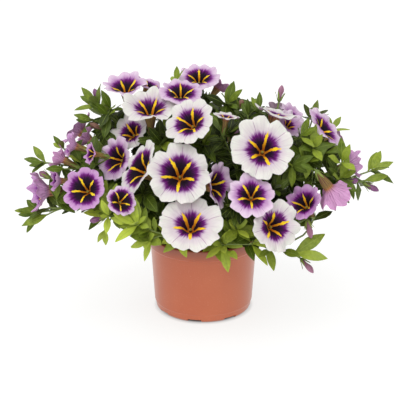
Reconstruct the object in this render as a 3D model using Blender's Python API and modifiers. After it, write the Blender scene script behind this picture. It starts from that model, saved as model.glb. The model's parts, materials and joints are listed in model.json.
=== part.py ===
"""Potted calibrachoa: terracotta-coloured pot, peat, leafy sprays and trumpet blooms.

Sizes are in millimetres in the tables and turned into metres by MM. The origin is on the
ground under the middle of the pot, Z is up and the viewer of the photo stands at -Y.
"""
import math
import random

import bmesh
import bpy
from mathutils import Matrix, Vector, noise
from mathutils.bvhtree import BVHTree

MM = 0.001
UP = Vector((0, 0, 1))

# Pot
POT_SIDES = 32
POT_PROFILE = (  # radius, height: inside floor, up the inside, down the outside, under the foot
    (0.0, 5.2), (42.2, 5.2), (47.2, 71.2), (48.3, 72.0), (50.0, 71.0), (50.0, 62.2),
    (48.5, 61.2), (45.3, 8.0), (44.7, 7.4), (43.9, 2.2), (41.4, 0.0), (38.6, 0.0),
    (37.6, 3.2), (0.0, 3.2))
NOTCH_COUNT = 8
NOTCH_START_DEG = -101.0
NOTCH_WIDTH, NOTCH_HEIGHT = 11.0, 2.4
NOTCH_MIDDLE, NOTCH_REACH = 42.0, 16.0
DRAIN_COUNT, DRAIN_RADIUS, DRAIN_RING, DRAIN_SIDES = 4, 4.0, 24.0, 6
DRAIN_START_DEG, DRAIN_LOW, DRAIN_HIGH = 20.0, 1.0, 8.0

# Peat
PEAT_TOP = 64.0
PEAT_SIDES = 16
PEAT_PROFILE = ((0.0, 64.0), (24.0, 64.0), (45.8, 63.0), (41.6, 5.6), (0.0, 5.6))
PEAT_LUMP, PEAT_GRAIN = 0.9, 130.0   # height of the lumps and how closely they follow
HOLE_RADIUS, HOLE_DEPTH, HOLE_SIDES = 2.6, 9.0, 5
HOLE_FLOOR_GAP = 0.5
HOLE_OVER = 8.0         # how far the cutter of a hole stands over the peat
LUMPY_DEPTH = 3.0       # only points of the peat within this of its top are moved

# Blooms: name, mouth centre x, y, z, radius, facing azimuth and elevation in degrees,
# roll of the first star arm, depth of the cup (0 flat to 1 half open), petal colour
BLOOMS = (
    ("bloom_top_left", -70, 16, 204, 21.0, -107, 75, 41, 0.15, "lilac"),
    ("bloom_top_left_rear", -49, 38, 201, 16.5, -3, 62, 10, 0.15, "lilac"),
    ("bloom_crown_left", -46, -28, 196, 25.0, -90, 72, -25, 0.10, "cream"),
    ("bloom_crown", -20, -17, 207, 19.5, -90, 69, 0, 0.12, "lilac"),
    ("bloom_crown_top", -4, 16, 213, 20.0, -90, 67, 0, 0.12, "lilac"),
    ("bloom_crown_rear", 14, 27, 202, 14.5, 42, 42, 20, 0.45, "dusty"),
    ("bloom_brow", -12, -56, 191, 23.5, -121, 44, 10, 0.14, "cream"),
    ("bloom_heart_right", 49, -69, 171, 27.5, -90, 34, -16, 0.05, "cream"),
    ("bloom_heart_left", -20, -77, 152, 27.5, -90, 37, 30, 0.08, "cream"),
    ("bloom_rim_front", -11, -99, 116, 28.0, -90, 54, 34, 0.03, "cream"),
    ("bloom_cheek", -54.5, -62, 152, 26.0, -136, 36, 25, 0.12, "cream"),
    ("bloom_cheek_left", -76.5, -34, 152, 22.5, -134, 24, 20, 0.30, "lilac"),
    ("bloom_cheek_top", -64.5, -13, 170.5, 21.0, -124, 43, 48, 0.24, "cream"),
    ("bloom_left", -100, -73, 137, 20.0, -113, 33, 35, 0.12, "violet"),
    ("bloom_far_left", -142, -38, 124, 24.0, -164, 4, 10, 0.72, "violet"),
    ("bloom_left_shoulder", -105, -10, 163, 15.0, 178, 28, 0, 0.60, "dusty"),
    ("bloom_left_lilac", -113, -43, 167, 14.0, -172, 22, 0, 0.60, "violet"),
    ("bloom_left_small", -95, -58, 164, 11.5, -154, 18, 0, 0.45, "violet"),
    ("bloom_left_half", -124, -41, 155, 15.0, 170, 25, 0, 0.80, "dusty"),
    ("bloom_left_behind", -126, -52, 138, 12.5, -158, 10, 0, 0.60, "violet"),
    ("bloom_left_low", -68, -88, 132, 14.0, -67, 33, 20, 0.15, "lilac"),
    ("bloom_middle", 12, -64, 137, 23.0, -32, 10, 60, 0.25, "lilac"),
    ("bloom_right_low", 39, -91, 138, 20.5, -90, 41, 37, 0.08, "lilac"),
    ("bloom_right_rim", 59, -93, 112, 24.0, -61, 26, 60, 0.08, "cream"),
    ("bloom_right", 84, -69, 124, 20.0, -129, 47, 30, 0.38, "violet"),
    ("bloom_right_nodding", 109, -64, 131, 21.0, 12, -53, 0, 0.70, "dusty"),
    ("bloom_far_right", 130, -31, 146, 16.5, 14, 8, 0, 0.60, "violet"),
    ("bloom_right_shoulder", 106, -20, 176, 22.5, -13, 40, 15, 0.12, "lilac"),
    ("bloom_brow_right", 61, -37, 194, 20.0, 21, 72, 0, 0.10, "cream"),
    ("bloom_temple", 75, -23, 180, 14.5, -45, 45, 20, 0.28, "lilac"),
    ("bloom_temple_rear", 79, 3, 183, 14.0, -14, 60, 0, 0.20, "lilac"),
    ("bloom_brow_small", 19, -49, 194, 12.0, 21, 80, 0, 0.15, "cream"),
    ("bloom_back_right", 120, 45, 150, 21.5, 20, 32, 10, 0.10, "lilac"),
    ("bloom_back_upper_right", 78, 66, 163, 22.5, 48, 48, 30, 0.10, "cream"),
    ("bloom_back", 30, 98, 138, 25.0, 80, 54, 0, 0.05, "cream"),
    ("bloom_back_upper_left", -26, 76, 176, 22.5, 100, 50, 50, 0.10, "lilac"),
    ("bloom_back_left", -72, 80, 146, 24.0, 132, 34, 20, 0.08, "cream"),
    ("bloom_back_far_left", -116, 40, 158, 20.5, 162, 36, 0, 0.12, "violet"),
)
TUBE_LENGTH = 1.15      # of the bloom's radius
TUBE_LEAST = 15.0
TUBE_END_RADIUS = 1.5
PETAL_THICK = 0.9
LOBES = 5
OUTLINE = (0.87, 1.0, 0.97, 1.0)   # radius at the seam, bulge, tip and bulge of one lobe
SMALL_BLOOM, SMALL_OUTLINE = 16.6, (0.85, 1.0)   # a bloom under this radius has a plainer edge
# Rings of a bloom: its radius and height when flat, then what a full cup adds to each
RIM_RING = (1.0, 0.05, -0.38, 0.30)
BOWL_RING = (0.56, -0.02, -0.21, -0.05)
THROAT_RING = (0.26, -0.14, -0.09, -0.18)
FLOOR_RING = (0.10, -0.38, 0.0, -0.20)
NECK_RADIUS, NECK_DROP = 0.19, 0.08
PETAL_BACK = (0.6, 0.2)  # how far the back of the throat and of the bowl stand out, in thicknesses
CREASE = 0.022          # seams stand proud of the midribs by this part of the radius
EDGE_WAVE = 0.012
LOBE_LIFT, LOBE_SIZE = (-0.05, 0.06), (0.94, 1.02)
PISTIL = 0.10
# Blooms that are pressed narrower, as parts of their width
PINCHED = {"bloom_cheek": 0.66, "bloom_middle": 0.9, "bloom_cheek_left": 0.95}
PINCH_FULL = 0.6        # of the radius: from here out the whole pinch is felt

# Calyx, in its own frame with the tube along +Z
CALYX_FOOT, CALYX_VALLEY, CALYX_TIP = 2.0, 2.4, 4.4
CALYX_FLOOR, CALYX_VALLEY_Z, CALYX_TIP_Z = 1.0, 1.5, 7.5
CALYX_GAP = 0.45

# Sprays: name, soil azimuth in degrees and radius, tip x, y, z, heading of the tip as
# azimuth and elevation, height of the bow over the soil
SPRAYS = (
    ("spray_far_left", -168, 34, -136, -37, 108, 184, 4, 34),
    ("spray_left", -158, 22, -112, -30, 146, 190, 20, 52),
    ("spray_left_front", -140, 33, -84, -58, 110, 215, 14, 40),
    ("spray_cheek", -132, 20, -52, -38, 140, 215, 30, 48),
    ("spray_top_left", 172, 12, -78, 14, 172, 170, 48, 70),
    ("spray_crown", -120, 8, -28, -20, 172, -140, 62, 76),
    ("spray_crown_top", 60, 8, 0, 20, 178, 80, 80, 76),
    ("spray_front", -108, 36, -26, -72, 92, -110, 12, 22),
    ("spray_front_upper", -98, 20, -12, -40, 126, -95, 40, 44),
    ("spray_front_right", -80, 38, 20, -78, 84, -72, 2, 18),
    ("spray_middle", -74, 24, 20, -58, 118, -70, 30, 40),
    ("spray_heart", -50, 13, 40, -34, 146, -50, 48, 60),
    ("spray_right_rim", -50, 38, 66, -72, 82, -44, 0, 20),
    ("spray_brow_right", -28, 14, 58, -20, 160, -20, 55, 66),
    ("spray_right_shoulder", -8, 22, 92, -16, 148, -8, 34, 60),
    ("spray_far_right", -18, 33, 140, -34, 132, -8, 12, 40),
    ("spray_back_right", 24, 30, 96, 42, 126, 24, 24, 44),
    ("spray_back", 62, 28, 46, 72, 128, 60, 30, 46),
    ("spray_back_left", 112, 27, -30, 70, 130, 112, 30, 46),
    ("spray_back_far_left", 148, 29, -96, 46, 126, 150, 22, 46),
)
STEM_RADIUS, STEM_TIP_RADIUS = 1.4, 0.85
STEM_STEPS = 4
COLLAR_HEIGHT = 3.0     # a stem is straight from its foot to here over the peat
TIP_PULL = 0.4          # how long a stem holds the heading of its tip, as part of its span
TWIG_RADIUS, TWIG_STEPS = 0.8, 2
TWIG_TAPER = 0.8
TWIG_LEAN = 0.4         # how much a twig would rather leave the stem below its target
TWIG_BENDS = ((0.35, 0.4), (0.2, 0.25), (0.5, 0.3), (0.15, 0.6), (0.6, 0.6))
STALK_END = 1.2         # from the end of a stalk to the foot of its calyx
TEST_SIDES = 6          # sides of the tubes that stand for stems in the clearance test

# Which spray carries each bloom
CARRIES = {
    "spray_far_left": ("bloom_far_left", "bloom_left_behind"),
    "spray_left": ("bloom_left_half", "bloom_left_lilac", "bloom_left_shoulder",
                   "bloom_left_small"),
    "spray_left_front": ("bloom_left", "bloom_left_low"),
    "spray_cheek": ("bloom_cheek_left", "bloom_cheek", "bloom_cheek_top"),
    "spray_top_left": ("bloom_top_left", "bloom_top_left_rear"),
    "spray_crown": ("bloom_crown_left", "bloom_crown", "bloom_brow"),
    "spray_crown_top": ("bloom_crown_top", "bloom_crown_rear"),
    "spray_front": ("bloom_rim_front",),
    "spray_front_upper": ("bloom_heart_left",),
    "spray_middle": ("bloom_middle", "bloom_right_low"),
    "spray_heart": ("bloom_heart_right", "bloom_brow_small"),
    "spray_right_rim": ("bloom_right_rim", "bloom_right"),
    "spray_brow_right": ("bloom_brow_right", "bloom_temple"),
    "spray_right_shoulder": ("bloom_right_shoulder", "bloom_temple_rear"),
    "spray_far_right": ("bloom_right_nodding", "bloom_far_right"),
    "spray_back_right": ("bloom_back_right", "bloom_back_upper_right"),
    "spray_back": ("bloom_back",),
    "spray_back_left": ("bloom_back_upper_left", "bloom_back_left"),
    "spray_back_far_left": ("bloom_back_far_left",),
}

# Leafy shoots of each spray: tip x, y, z, heading azimuth and elevation, leaves,
# leaf length
SHOOTS = {
    "spray_far_left": (
        (-147, -30, 101, 186, 0, 7, 21), (-136, -40, 103, 196, -22, 1, 28),
        (-127, -46, 119, 150, 78, 2, 23),),
    "spray_left": (
        (-139, -38, 150, 184, 16, 6, 18), (-122, -28, 160, 170, 60, 3, 15),
        (-106, -40, 150, 170, 75, 2, 22), (-119, -48, 147, 196, 10, 2, 20),),
    "spray_left_front": ((-84, -70, 100, 210, -50, 2, 15), (-80, -80, 116, 215, 10, 3, 17),),
    "spray_cheek": ((-52, -58, 128, 196, 10, 2, 30),),
    "spray_top_left": (
        (-96, 6, 191, 168, 50, 6, 21), (-98, 0, 177, 178, 15, 4, 20),
        (-82, 0, 188, 210, 60, 3, 20), (-84, -4, 183, 215, 35, 3, 21),),
    "spray_crown": (
        (-24, 6, 210, 100, 75, 3, 17), (-38, -38, 165, -30, 8, 3, 23),
        (0, -36, 165, -60, 30, 4, 23),),
    "spray_crown_top": ((22, -2, 194, 0, 52, 6, 20), (-10, 40, 188, 110, 60, 5, 20),),
    "spray_front": ((-57, -86, 111, -140, 26, 6, 24), (-47, -82, 94, -112, -48, 4, 18),),
    "spray_front_upper": ((10, -40, 158, -60, 60, 4, 23),),
    "spray_front_right": (
        (15, -76, 88, -95, -30, 4, 18), (29, -72, 101, -60, 40, 5, 17),
        (42, -68, 86, -35, 6, 4, 23),),
    "spray_middle": ((26, -66, 118, -80, 10, 3, 18), (60, -62, 134, -60, 60, 3, 17),),
    "spray_heart": (
        (21, -38, 174, -20, 60, 3, 28), (38, -32, 190, 40, 66, 3, 16),
        (52, -30, 142, -30, 40, 3, 20),),
    "spray_right_rim": (
        (57, -72, 83, -70, -50, 1, 18), (78, -74, 80, -34, 6, 2, 31),
        (72, -56, 104, -20, 20, 3, 18),),
    "spray_brow_right": (
        (48, -24, 193, 70, 62, 4, 17), (84, -34, 172, -40, 52, 4, 18),
        (76, -48, 150, -60, 12, 4, 20),),
    "spray_right_shoulder": (
        (94, -38, 163, -60, 50, 5, 21), (114, 2, 168, 10, 60, 3, 17),
        (90, -40, 152, -50, 14, 4, 20),),
    "spray_far_right": (
        (104, -38, 160, -40, 50, 5, 22), (118, -49, 154, -40, 44, 4, 21),
        (118, -44, 138, -30, 0, 4, 20), (148, -26, 139, -4, 14, 6, 22),),
    "spray_back_right": ((102, 50, 166, 40, 50, 5, 20), (96, 74, 116, 40, 0, 5, 21),),
    "spray_back": ((52, 88, 112, 62, -6, 5, 21), (48, 78, 160, 60, 60, 5, 20),),
    "spray_back_left": ((-22, 96, 108, 104, -8, 5, 21), (-48, 78, 172, 120, 60, 5, 20),),
    "spray_back_far_left": ((-110, 58, 116, 150, 0, 5, 21), (-92, 60, 166, 140, 50, 5, 20),),
}
# Closed buds of each spray: foot x, y, z, heading azimuth and elevation, length
BUDS = {
    "spray_far_left": ((-133, -44, 138, 176, 30, 9),),
    "spray_left_front": ((-84, -74, 112, 215, 0, 13),),
    "spray_top_left": ((-88, -6, 170, 200, 30, 14), (-94, 10, 190, 160, 76, 13),),
    "spray_crown_top": ((31, -8, 190, -20, 70, 8),),
    "spray_right_rim": ((88, -66, 107, -60, -64, 15), (84, -68, 72, -40, -36, 15),),
    "spray_brow_right": ((66, -8, 197, 60, 70, 13),),
    "spray_far_right": ((124, -40, 133, -20, 14, 9), (140, -31, 129, -20, -24, 14),),
    "spray_back": ((60, 80, 146, 60, 40, 12),),
    "spray_back_left": ((-46, 92, 120, 120, 10, 12),),
}
BUD_RADIUS, BUD_WAIST = 2.5, 0.55   # the waist is the widest place, as part of its length

# Leaves along each stem
STEM_NODES = (0.45, 0.62, 0.80)     # places along a stem, as parts of its length
BACK_NODES = (0.50, 0.76)           # the same for the sprays of the far side
STEM_LEAF_LENGTH = 23.0
NODE_LENGTH = 1.7       # of the short stretch of stem that a pair of leaves grows out of
NODE_MARGIN = 0.7       # points of the stem nearer to such a stretch are dropped
TUFT_PART = 0.8         # most of the last piece of a shoot that its pairs of leaves may take
BRANCH_SIDES, STALK_SIDES = 4, 3
LEAF_THICK = 0.9
LEAF_WIDTH, LEAF_FOLD, LEAF_DROOP = 0.41, 0.26, 0.16   # parts of its length or width
SHORT_LEAF = 24.5       # a leaf under this length has a plainer outline
LEAF_STATIONS = ((0.0, 0.15), (0.40, 0.80), (0.74, 0.88))   # along the blade, part of its width
SHORT_STATIONS = ((0.0, 0.16), (0.54, 1.0))
LEAF_SPINS = (0, 24, -24, 42, -42)      # turns about the stem tried in the clearance test
END_SPINS = range(0, 360, 60)
LEAF_SIZES = (1.0, 0.84, 0.7)
STEM_TILTS, SHOOT_TILTS, END_TILTS = (46, 60, 34), (46, 62, 30), (6, 18, 30)
END_LEAF = 0.9          # the leaf at the end of a shoot against those beside it
LEAF_FREE = 0.2         # part of a leaf near its root that may touch its own spray
LEAF_TURN = 0.8         # how much a leaf's face turns to the front, or to the back behind FAR_SIDE
FAR_SIDE = 25.0
FACE_ALONG, FACE_RADIAL = 0.4, -0.3     # and how much along its stem and away from it
SIGHT_DEPTH, SIGHT_WIDTH = 28.0, 0.75   # space before a bloom with no leaf in it: mm, radii
SIGHT_LEAF = 0.6        # the place along a leaf, with its tip, that is kept out of that space
VIEWER = Vector((0, -0.8, 0.3))
SEAM_WELDS = (0.12, 0.03, 0.0)      # seam points closer than this are made one; the first that works
SLIVER = 0.01
CLEARANCE = 0.4         # kept between one node and the next
LEAF_CLEARANCE = 0.24   # the same for a leaf
POT_KEEP_OFF, POT_KEEP_UNDER = 53.0, 66.0   # no leaf inside this radius is under this height


def heading(azimuth, elevation):
    """Unit vector for an azimuth and elevation in degrees."""
    a, e = math.radians(azimuth), math.radians(elevation)
    return Vector((math.cos(e) * math.cos(a), math.cos(e) * math.sin(a), math.sin(e)))


def across(direction, hint=UP):
    """Unit vector at right angles to direction, as near to hint as it can be."""
    part = hint - direction * hint.dot(direction)
    if part.length < 0.05:
        part = Vector((1, 0, 0)) - direction * direction.x
    return part.normalized()


def facing(azimuth, elevation, roll):
    """Rotation that takes +Z to the heading and +X to the rolled upward direction."""
    out = heading(azimuth, elevation)
    rise = across(out)
    left = out.cross(rise)
    angle = math.radians(roll)
    first = rise * math.cos(angle) + left * math.sin(angle)
    return Matrix((first, out.cross(first), out)).transposed()


def strip(faces, a, b):
    """Join two rings of indices that need not be of one length."""
    i = j = 0
    while i < len(a) or j < len(b):
        if j >= len(b) or (i < len(a) and j * len(a) >= i * len(b)):
            faces.append((a[i % len(a)], a[(i + 1) % len(a)], b[j % len(b)]))
            i += 1
        else:
            faces.append((a[i % len(a)], b[(j + 1) % len(b)], b[j % len(b)]))
            j += 1


def cap(faces, ring):
    """Close a ring of indices with a fan from its first corner."""
    faces += [(ring[0], ring[k], ring[k + 1]) for k in range(1, len(ring) - 1)]


def loft(rings, faces, verts):
    """Join rings of points end to end and close both ends; a ring may be one point."""
    rows = []
    for ring in rings:
        rows.append(list(range(len(verts), len(verts) + len(ring))))
        verts.extend(ring)
    for a, b in zip(rows, rows[1:]):
        if len(a) == 1 or len(b) == 1:
            point, ring = (a[0], b) if len(a) == 1 else (b[0], a)
            for k in range(len(ring)):
                faces.append((ring[k], ring[(k + 1) % len(ring)], point))
        else:
            strip(faces, a, b)
    for row in (rows[0], rows[-1]):
        if len(row) > 2:
            cap(faces, row)


def curve(start, start_dir, end, end_dir, steps):
    """Points of a cubic curve between two points with the given end directions."""
    a, b, c, d = start, start + start_dir, end - end_dir, end
    points = []
    for k in range(steps + 1):
        t = k / steps
        s = 1 - t
        points.append(a * s ** 3 + b * (3 * s * s * t) + c * (3 * s * t * t) + d * t ** 3)
    return points


def rings_along(path, first, last, sides):
    """Rings of points round a path, tapering from one radius to the other."""
    rings = []
    lift = across((path[1] - path[0]).normalized(), Vector((0.3, 0.9, 0.1)))
    for k, point in enumerate(path):
        ahead = (path[min(k + 1, len(path) - 1)] - path[max(k - 1, 0)]).normalized()
        lift = across(ahead, lift)
        side = ahead.cross(lift)
        radius = first + (last - first) * k / (len(path) - 1)
        rings.append([point + (lift * math.cos(a) + side * math.sin(a)) * radius
                      for a in (math.tau * i / sides for i in range(sides))])
    return rings


def tube(path, first, last, grow=0.0):
    """Closed tapering tube that stands for a stem in the clearance test."""
    verts, faces = [], []
    loft(rings_along(path, first + grow, last + grow, TEST_SIDES), faces, verts)
    return verts, faces


def sections(root, direction, top, length, width, grow=0.0, first=0.0):
    """Cross-sections of a folded, keeled blade and its tip."""
    side = direction.cross(top)
    rings = []
    for along, part in (SHORT_STATIONS if length < SHORT_LEAF else LEAF_STATIONS):
        along = max(along, first)
        middle = root + direction * (length * along) - top * (LEAF_DROOP * length * along ** 2)
        half = width * part / 2 + grow
        rise = top * (LEAF_FOLD * width * part / 2)
        thick = LEAF_THICK / 2 + grow
        rings.append([middle + side * half + rise, middle - top * thick,
                      middle - side * half + rise, middle + top * thick])
    return rings, root + direction * (length + grow) - top * (LEAF_DROOP * length)


def best_turn(quad, ring):
    """How far to turn a quad of points for its corners to face those of a ring."""
    middle = sum(quad, Vector()) / 4
    centre = sum(ring, Vector()) / 4

    def likeness(turn):
        return sum((quad[(i + turn) % 4] - middle).normalized().dot((ring[i] - centre).normalized())
                   for i in range(4))

    return max(range(4), key=likeness)


def leaf(blade, grow=0.0, first=0.0, foot=None):
    """Blade as a closed body of its own, for the clearance test."""
    rings, tip = sections(*blade, grow, first)
    if foot:
        turn = best_turn(foot, rings[1])
        rings[0] = foot[turn:] + foot[:turn]
    verts, faces = [], []
    loft([*rings, [tip]], faces, verts)
    return verts, faces


class Branch:
    """Tapering stem; with four sides, a leaf may grow out of any side face or the end."""

    def __init__(self, path, first, last, sides=BRANCH_SIDES):
        self.path, self.first, self.last, self.sides = path, first, last, sides
        self.rings = rings_along(path, first, last, sides)
        self.blades = {}        # (segment, side) or "end": root, direction, top, length, width
        self.cup = None         # foot, direction and bud length of a calyx on its end

    def corners(self, key):
        if key == "end":
            return self.rings[-1]
        segment, side = key
        after = (side + 1) % self.sides
        return [self.rings[segment][side], self.rings[segment][after],
                self.rings[segment + 1][after], self.rings[segment + 1][side]]

    def face(self, key):
        """Middle of a face and the directions out of it and along the stem."""
        corners = self.corners(key)
        middle = sum(corners, Vector()) / len(corners)
        if key == "end":
            along = (self.path[-1] - self.path[-2]).normalized()
            return middle, along, along
        along = (self.path[key[0] + 1] - self.path[key[0]]).normalized()
        spine = (self.path[key[0]] + self.path[key[0] + 1]) / 2
        return middle, (middle - spine).normalized(), along

    def mesh(self):
        """Points and faces of the stem with its leaves, calyx and bud in one skin."""
        verts, faces = [], []
        rows = []
        for ring in self.rings:
            rows.append(list(range(len(verts), len(verts) + len(ring))))
            verts.extend(ring)
        cap(faces, rows[0])
        for segment in range(len(rows) - 1):
            for side in range(self.sides):
                after = (side + 1) % self.sides
                quad = [rows[segment][side], rows[segment][after],
                        rows[segment + 1][after], rows[segment + 1][side]]
                self.grow((segment, side), quad, verts, faces)
        if self.cup:
            calyx_faces(*self.cup, rows[-1], verts, faces)
        else:
            self.grow("end", rows[-1], verts, faces)
        return verts, faces

    def grow(self, key, quad, verts, faces):
        """Close a face, or draw it out into the leaf that grows there."""
        if key not in self.blades:
            cap(faces, quad)
            return
        rings, tip = sections(*self.blades[key])
        turn = best_turn([verts[i] for i in quad], rings[1])
        quad = quad[turn:] + quad[:turn]
        for ring in rings[1:]:
            row = list(range(len(verts), len(verts) + 4))
            verts.extend(ring)
            strip(faces, quad, row)
            quad = row
        verts.append(tip)
        for i in range(4):
            faces.append((quad[i], quad[(i + 1) % 4], len(verts) - 1))


def at_cup(ring, cup):
    """Radius and height of a ring of a bloom for the depth of its cup."""
    return ring[0] + ring[2] * cup, ring[1] + ring[3] * cup


def set_bloom(spec, points):
    """Points given in radii about the middle of the mouth, pinched and put in place."""
    name, x, y, z, radius, azimuth, elevation, roll, *_ = spec
    turn = facing(azimuth, elevation, roll)
    sideways = facing(azimuth, elevation, 0) @ Vector((0, 1, 0))
    placed = []
    for point in points:
        share = min(1.0, math.hypot(point.x, point.y) / PINCH_FULL)
        spot = turn @ point
        spot -= sideways * (spot.dot(sideways) * share * (1 - PINCHED.get(name, 1.0)))
        placed.append(spot * radius + Vector((x, y, z)))
    return placed


def bloom(spec):
    """Trumpet with five fused lobes, creased at the seams, and a long tube."""
    name, *_, radius, _, _, _, cup, _ = spec
    rng = random.Random(name)
    thick = PETAL_THICK / radius
    length = max(TUBE_LENGTH, TUBE_LEAST / radius)
    small = radius < SMALL_BLOOM
    edge = SMALL_OUTLINE if small else OUTLINE
    per_lobe = len(edge)
    lobe_lift = [rng.uniform(*LOBE_LIFT) for _ in range(LOBES)]
    lobe_size = [rng.uniform(*LOBE_SIZE) for _ in range(LOBES)]

    def ring(count, part, height, crease=0.0):
        turns = [math.tau * k / count for k in range(count)]
        return [Vector((part * math.cos(a), part * math.sin(a), height + crease * (k % 2 == 0)))
                for k, a in enumerate(turns)]

    outline = []
    open_part, rim_height = at_cup(RIM_RING, cup)
    for k in range(LOBES * per_lobe):
        a = math.tau * k / (LOBES * per_lobe)
        lobe, place = divmod(k, per_lobe)
        part, height = edge[place] * open_part, rim_height
        if place:
            part *= lobe_size[lobe]
            height += lobe_lift[lobe]
        if not small:
            height += EDGE_WAVE if k % 2 else -EDGE_WAVE
        outline.append(Vector((part * math.cos(a), part * math.sin(a), height)))
    bowl, bowl_height = at_cup(BOWL_RING, cup)
    throat, throat_height = at_cup(THROAT_RING, cup)
    floor, floor_height = at_cup(FLOOR_RING, cup)
    inner = [ring(2 * LOBES, bowl, bowl_height, CREASE),
             ring(2 * LOBES, throat, throat_height, CREASE),
             ring(LOBES, floor, floor_height), [Vector((0, 0, floor_height + PISTIL))]]
    outer = [ring(LOBES, TUBE_END_RADIUS / radius, -length),
             ring(LOBES, NECK_RADIUS, floor_height - NECK_DROP),
             ring(2 * LOBES, throat + thick * PETAL_BACK[0], throat_height - thick, CREASE),
             ring(2 * LOBES, bowl + thick * PETAL_BACK[1], bowl_height - thick, CREASE)]
    if small:
        inner, outer = inner[1:], outer[:-1]
    verts, faces = [], []
    loft([*outer, outline, *inner], faces, verts)
    return set_bloom(spec, verts), faces


def calyx_place(spec):
    """Foot of the calyx under a bloom's tube, and the tube's direction."""
    _, x, y, z, radius, azimuth, elevation, *_ = spec
    out = heading(azimuth, elevation)
    length = max(TUBE_LENGTH * radius, TUBE_LEAST)
    return Vector((x, y, z)) - out * (length + CALYX_GAP + CALYX_FLOOR), out


def calyx_points(foot, out, grow=0.0):
    """Foot ring, valleys and tips of a cup of five sepals."""
    lift = across(out)
    side = out.cross(lift)

    def at(radius, turn, height):
        a = math.radians(turn)
        return foot + (lift * math.cos(a) + side * math.sin(a)) * (radius + grow) + out * height

    return ([at(CALYX_FOOT, 72 * k, -grow) for k in range(LOBES)]
            + [at(CALYX_VALLEY, 72 * k + 36, CALYX_VALLEY_Z) for k in range(LOBES)]
            + [at(CALYX_TIP, 72 * k, CALYX_TIP_Z + grow) for k in range(LOBES)])


def calyx_faces(foot, out, bud_length, stalk, verts, faces, grow=0.0):
    """Cup of sepals drawn out of the end of a stalk, empty or round a bud."""
    first = len(verts)
    verts.extend(calyx_points(foot, out, grow))
    base = [first + k for k in range(LOBES)]
    valleys = [first + LOBES + k for k in range(LOBES)]
    tips = [first + 2 * LOBES + k for k in range(LOBES)]
    if stalk:
        near = min(range(len(stalk)), key=lambda i: (verts[stalk[i]] - verts[base[0]]).length)
        strip(faces, stalk[near:] + stalk[:near], base)
    else:
        cap(faces, base)
    for k in range(LOBES):
        after = (k + 1) % LOBES
        left, right = valleys[k - 1], valleys[k]
        faces += [(base[k], base[after], right), (base[k], right, tips[k]),
                  (base[k], tips[k], left), (left, tips[k], right)]
    if bud_length:
        _, *waist, tip = bud(foot + out * CALYX_FLOOR, out, bud_length)[0]
        row = list(range(len(verts), len(verts) + LOBES))
        verts.extend(waist)
        strip(faces, valleys, row)
        verts.append(tip)
        faces += [(row[k], row[(k + 1) % LOBES], len(verts) - 1) for k in range(LOBES)]
    else:
        verts.append(foot + out * CALYX_FLOOR)
        faces += [(valleys[k - 1], valleys[k], len(verts) - 1) for k in range(LOBES)]


def calyx(foot, out, grow=0.0):
    """Calyx as a closed body of its own, for the clearance test."""
    verts, faces = [], []
    calyx_faces(foot, out, None, None, verts, faces, grow)
    return verts, faces


def bud(foot, out, length, grow=0.0):
    """Closed spindle bud standing in its calyx."""
    lift = across(out)
    side = out.cross(lift)
    turns = [math.radians(72 * k + 36) for k in range(LOBES)]
    waist = [foot + out * (length * BUD_WAIST) + (lift * math.cos(a) + side * math.sin(a))
             * (BUD_RADIUS + grow) for a in turns]
    verts, faces = [], []
    loft([[foot - out * grow], waist, [foot + out * (length + grow)]], faces, verts)
    return verts, faces


def extent(verts):
    """Low and high corner of a group of points."""
    return ([min(v[i] for v in verts) for i in range(3)],
            [max(v[i] for v in verts) for i in range(3)])


class Thicket:
    """Everything placed so far, with a test for whether a new piece would cross it."""

    def __init__(self):
        self.pieces = []

    def add(self, owner, mesh):
        self.pieces.append((owner, BVHTree.FromPolygons(*mesh), *extent(mesh[0])))

    def blocked(self, mesh, skip=()):
        low, high = extent(mesh[0])
        tree = None
        for owner, other, lower, upper in self.pieces:
            if owner in skip:
                continue
            if all(low[i] <= upper[i] and lower[i] <= high[i] for i in range(3)):
                tree = tree or BVHTree.FromPolygons(*mesh)
                if tree.overlap(other):
                    return True
        return False


def stem_path(spec):
    """Points of a spray's main stem, from its hole in the peat to its tip."""
    _, azimuth, radius, x, y, z, tip_azimuth, tip_elevation, bow = spec
    outward = heading(azimuth, 0)
    foot = outward * radius + UP * (PEAT_TOP - HOLE_DEPTH + HOLE_FLOOR_GAP)
    collar = outward * radius + UP * (PEAT_TOP + COLLAR_HEIGHT)
    tip = Vector((x, y, z))
    span = (tip - collar).length
    points = curve(collar, UP * bow, tip, heading(tip_azimuth, tip_elevation) * (span * TIP_PULL),
                   STEM_STEPS)
    return [foot] + points


def with_nodes(path, places):
    """Path with a short segment of its own at each place, given as part of its length."""
    lengths = [0.0]
    for a, b in zip(path, path[1:]):
        lengths.append(lengths[-1] + (b - a).length)

    def at(distance):
        for k in range(len(path) - 1):
            if distance <= lengths[k + 1] or k == len(path) - 2:
                part = (distance - lengths[k]) / (lengths[k + 1] - lengths[k])
                return path[k] + (path[k + 1] - path[k]) * part

    cuts = []
    for place in places:
        middle = place * lengths[-1]
        cuts.append((middle - NODE_LENGTH / 2, middle + NODE_LENGTH / 2))
    stops = [d for d in lengths
             if all(d < a - NODE_MARGIN or d > b + NODE_MARGIN for a, b in cuts)]
    stops = sorted(stops + [d for pair in cuts for d in pair])
    nodes = [stops.index(a) for a, _ in cuts]
    return [at(d) for d in stops], nodes


def sight(spec):
    """Middle of a bloom, the way it is looked into, and the radius to keep free of leaves."""
    _, x, y, z, radius, azimuth, elevation, *_ = spec
    out = heading(azimuth, elevation)
    if y < FAR_SIDE:
        out = (out + VIEWER).normalized()
    return Vector((x, y, z)), out, radius * SIGHT_WIDTH


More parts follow.
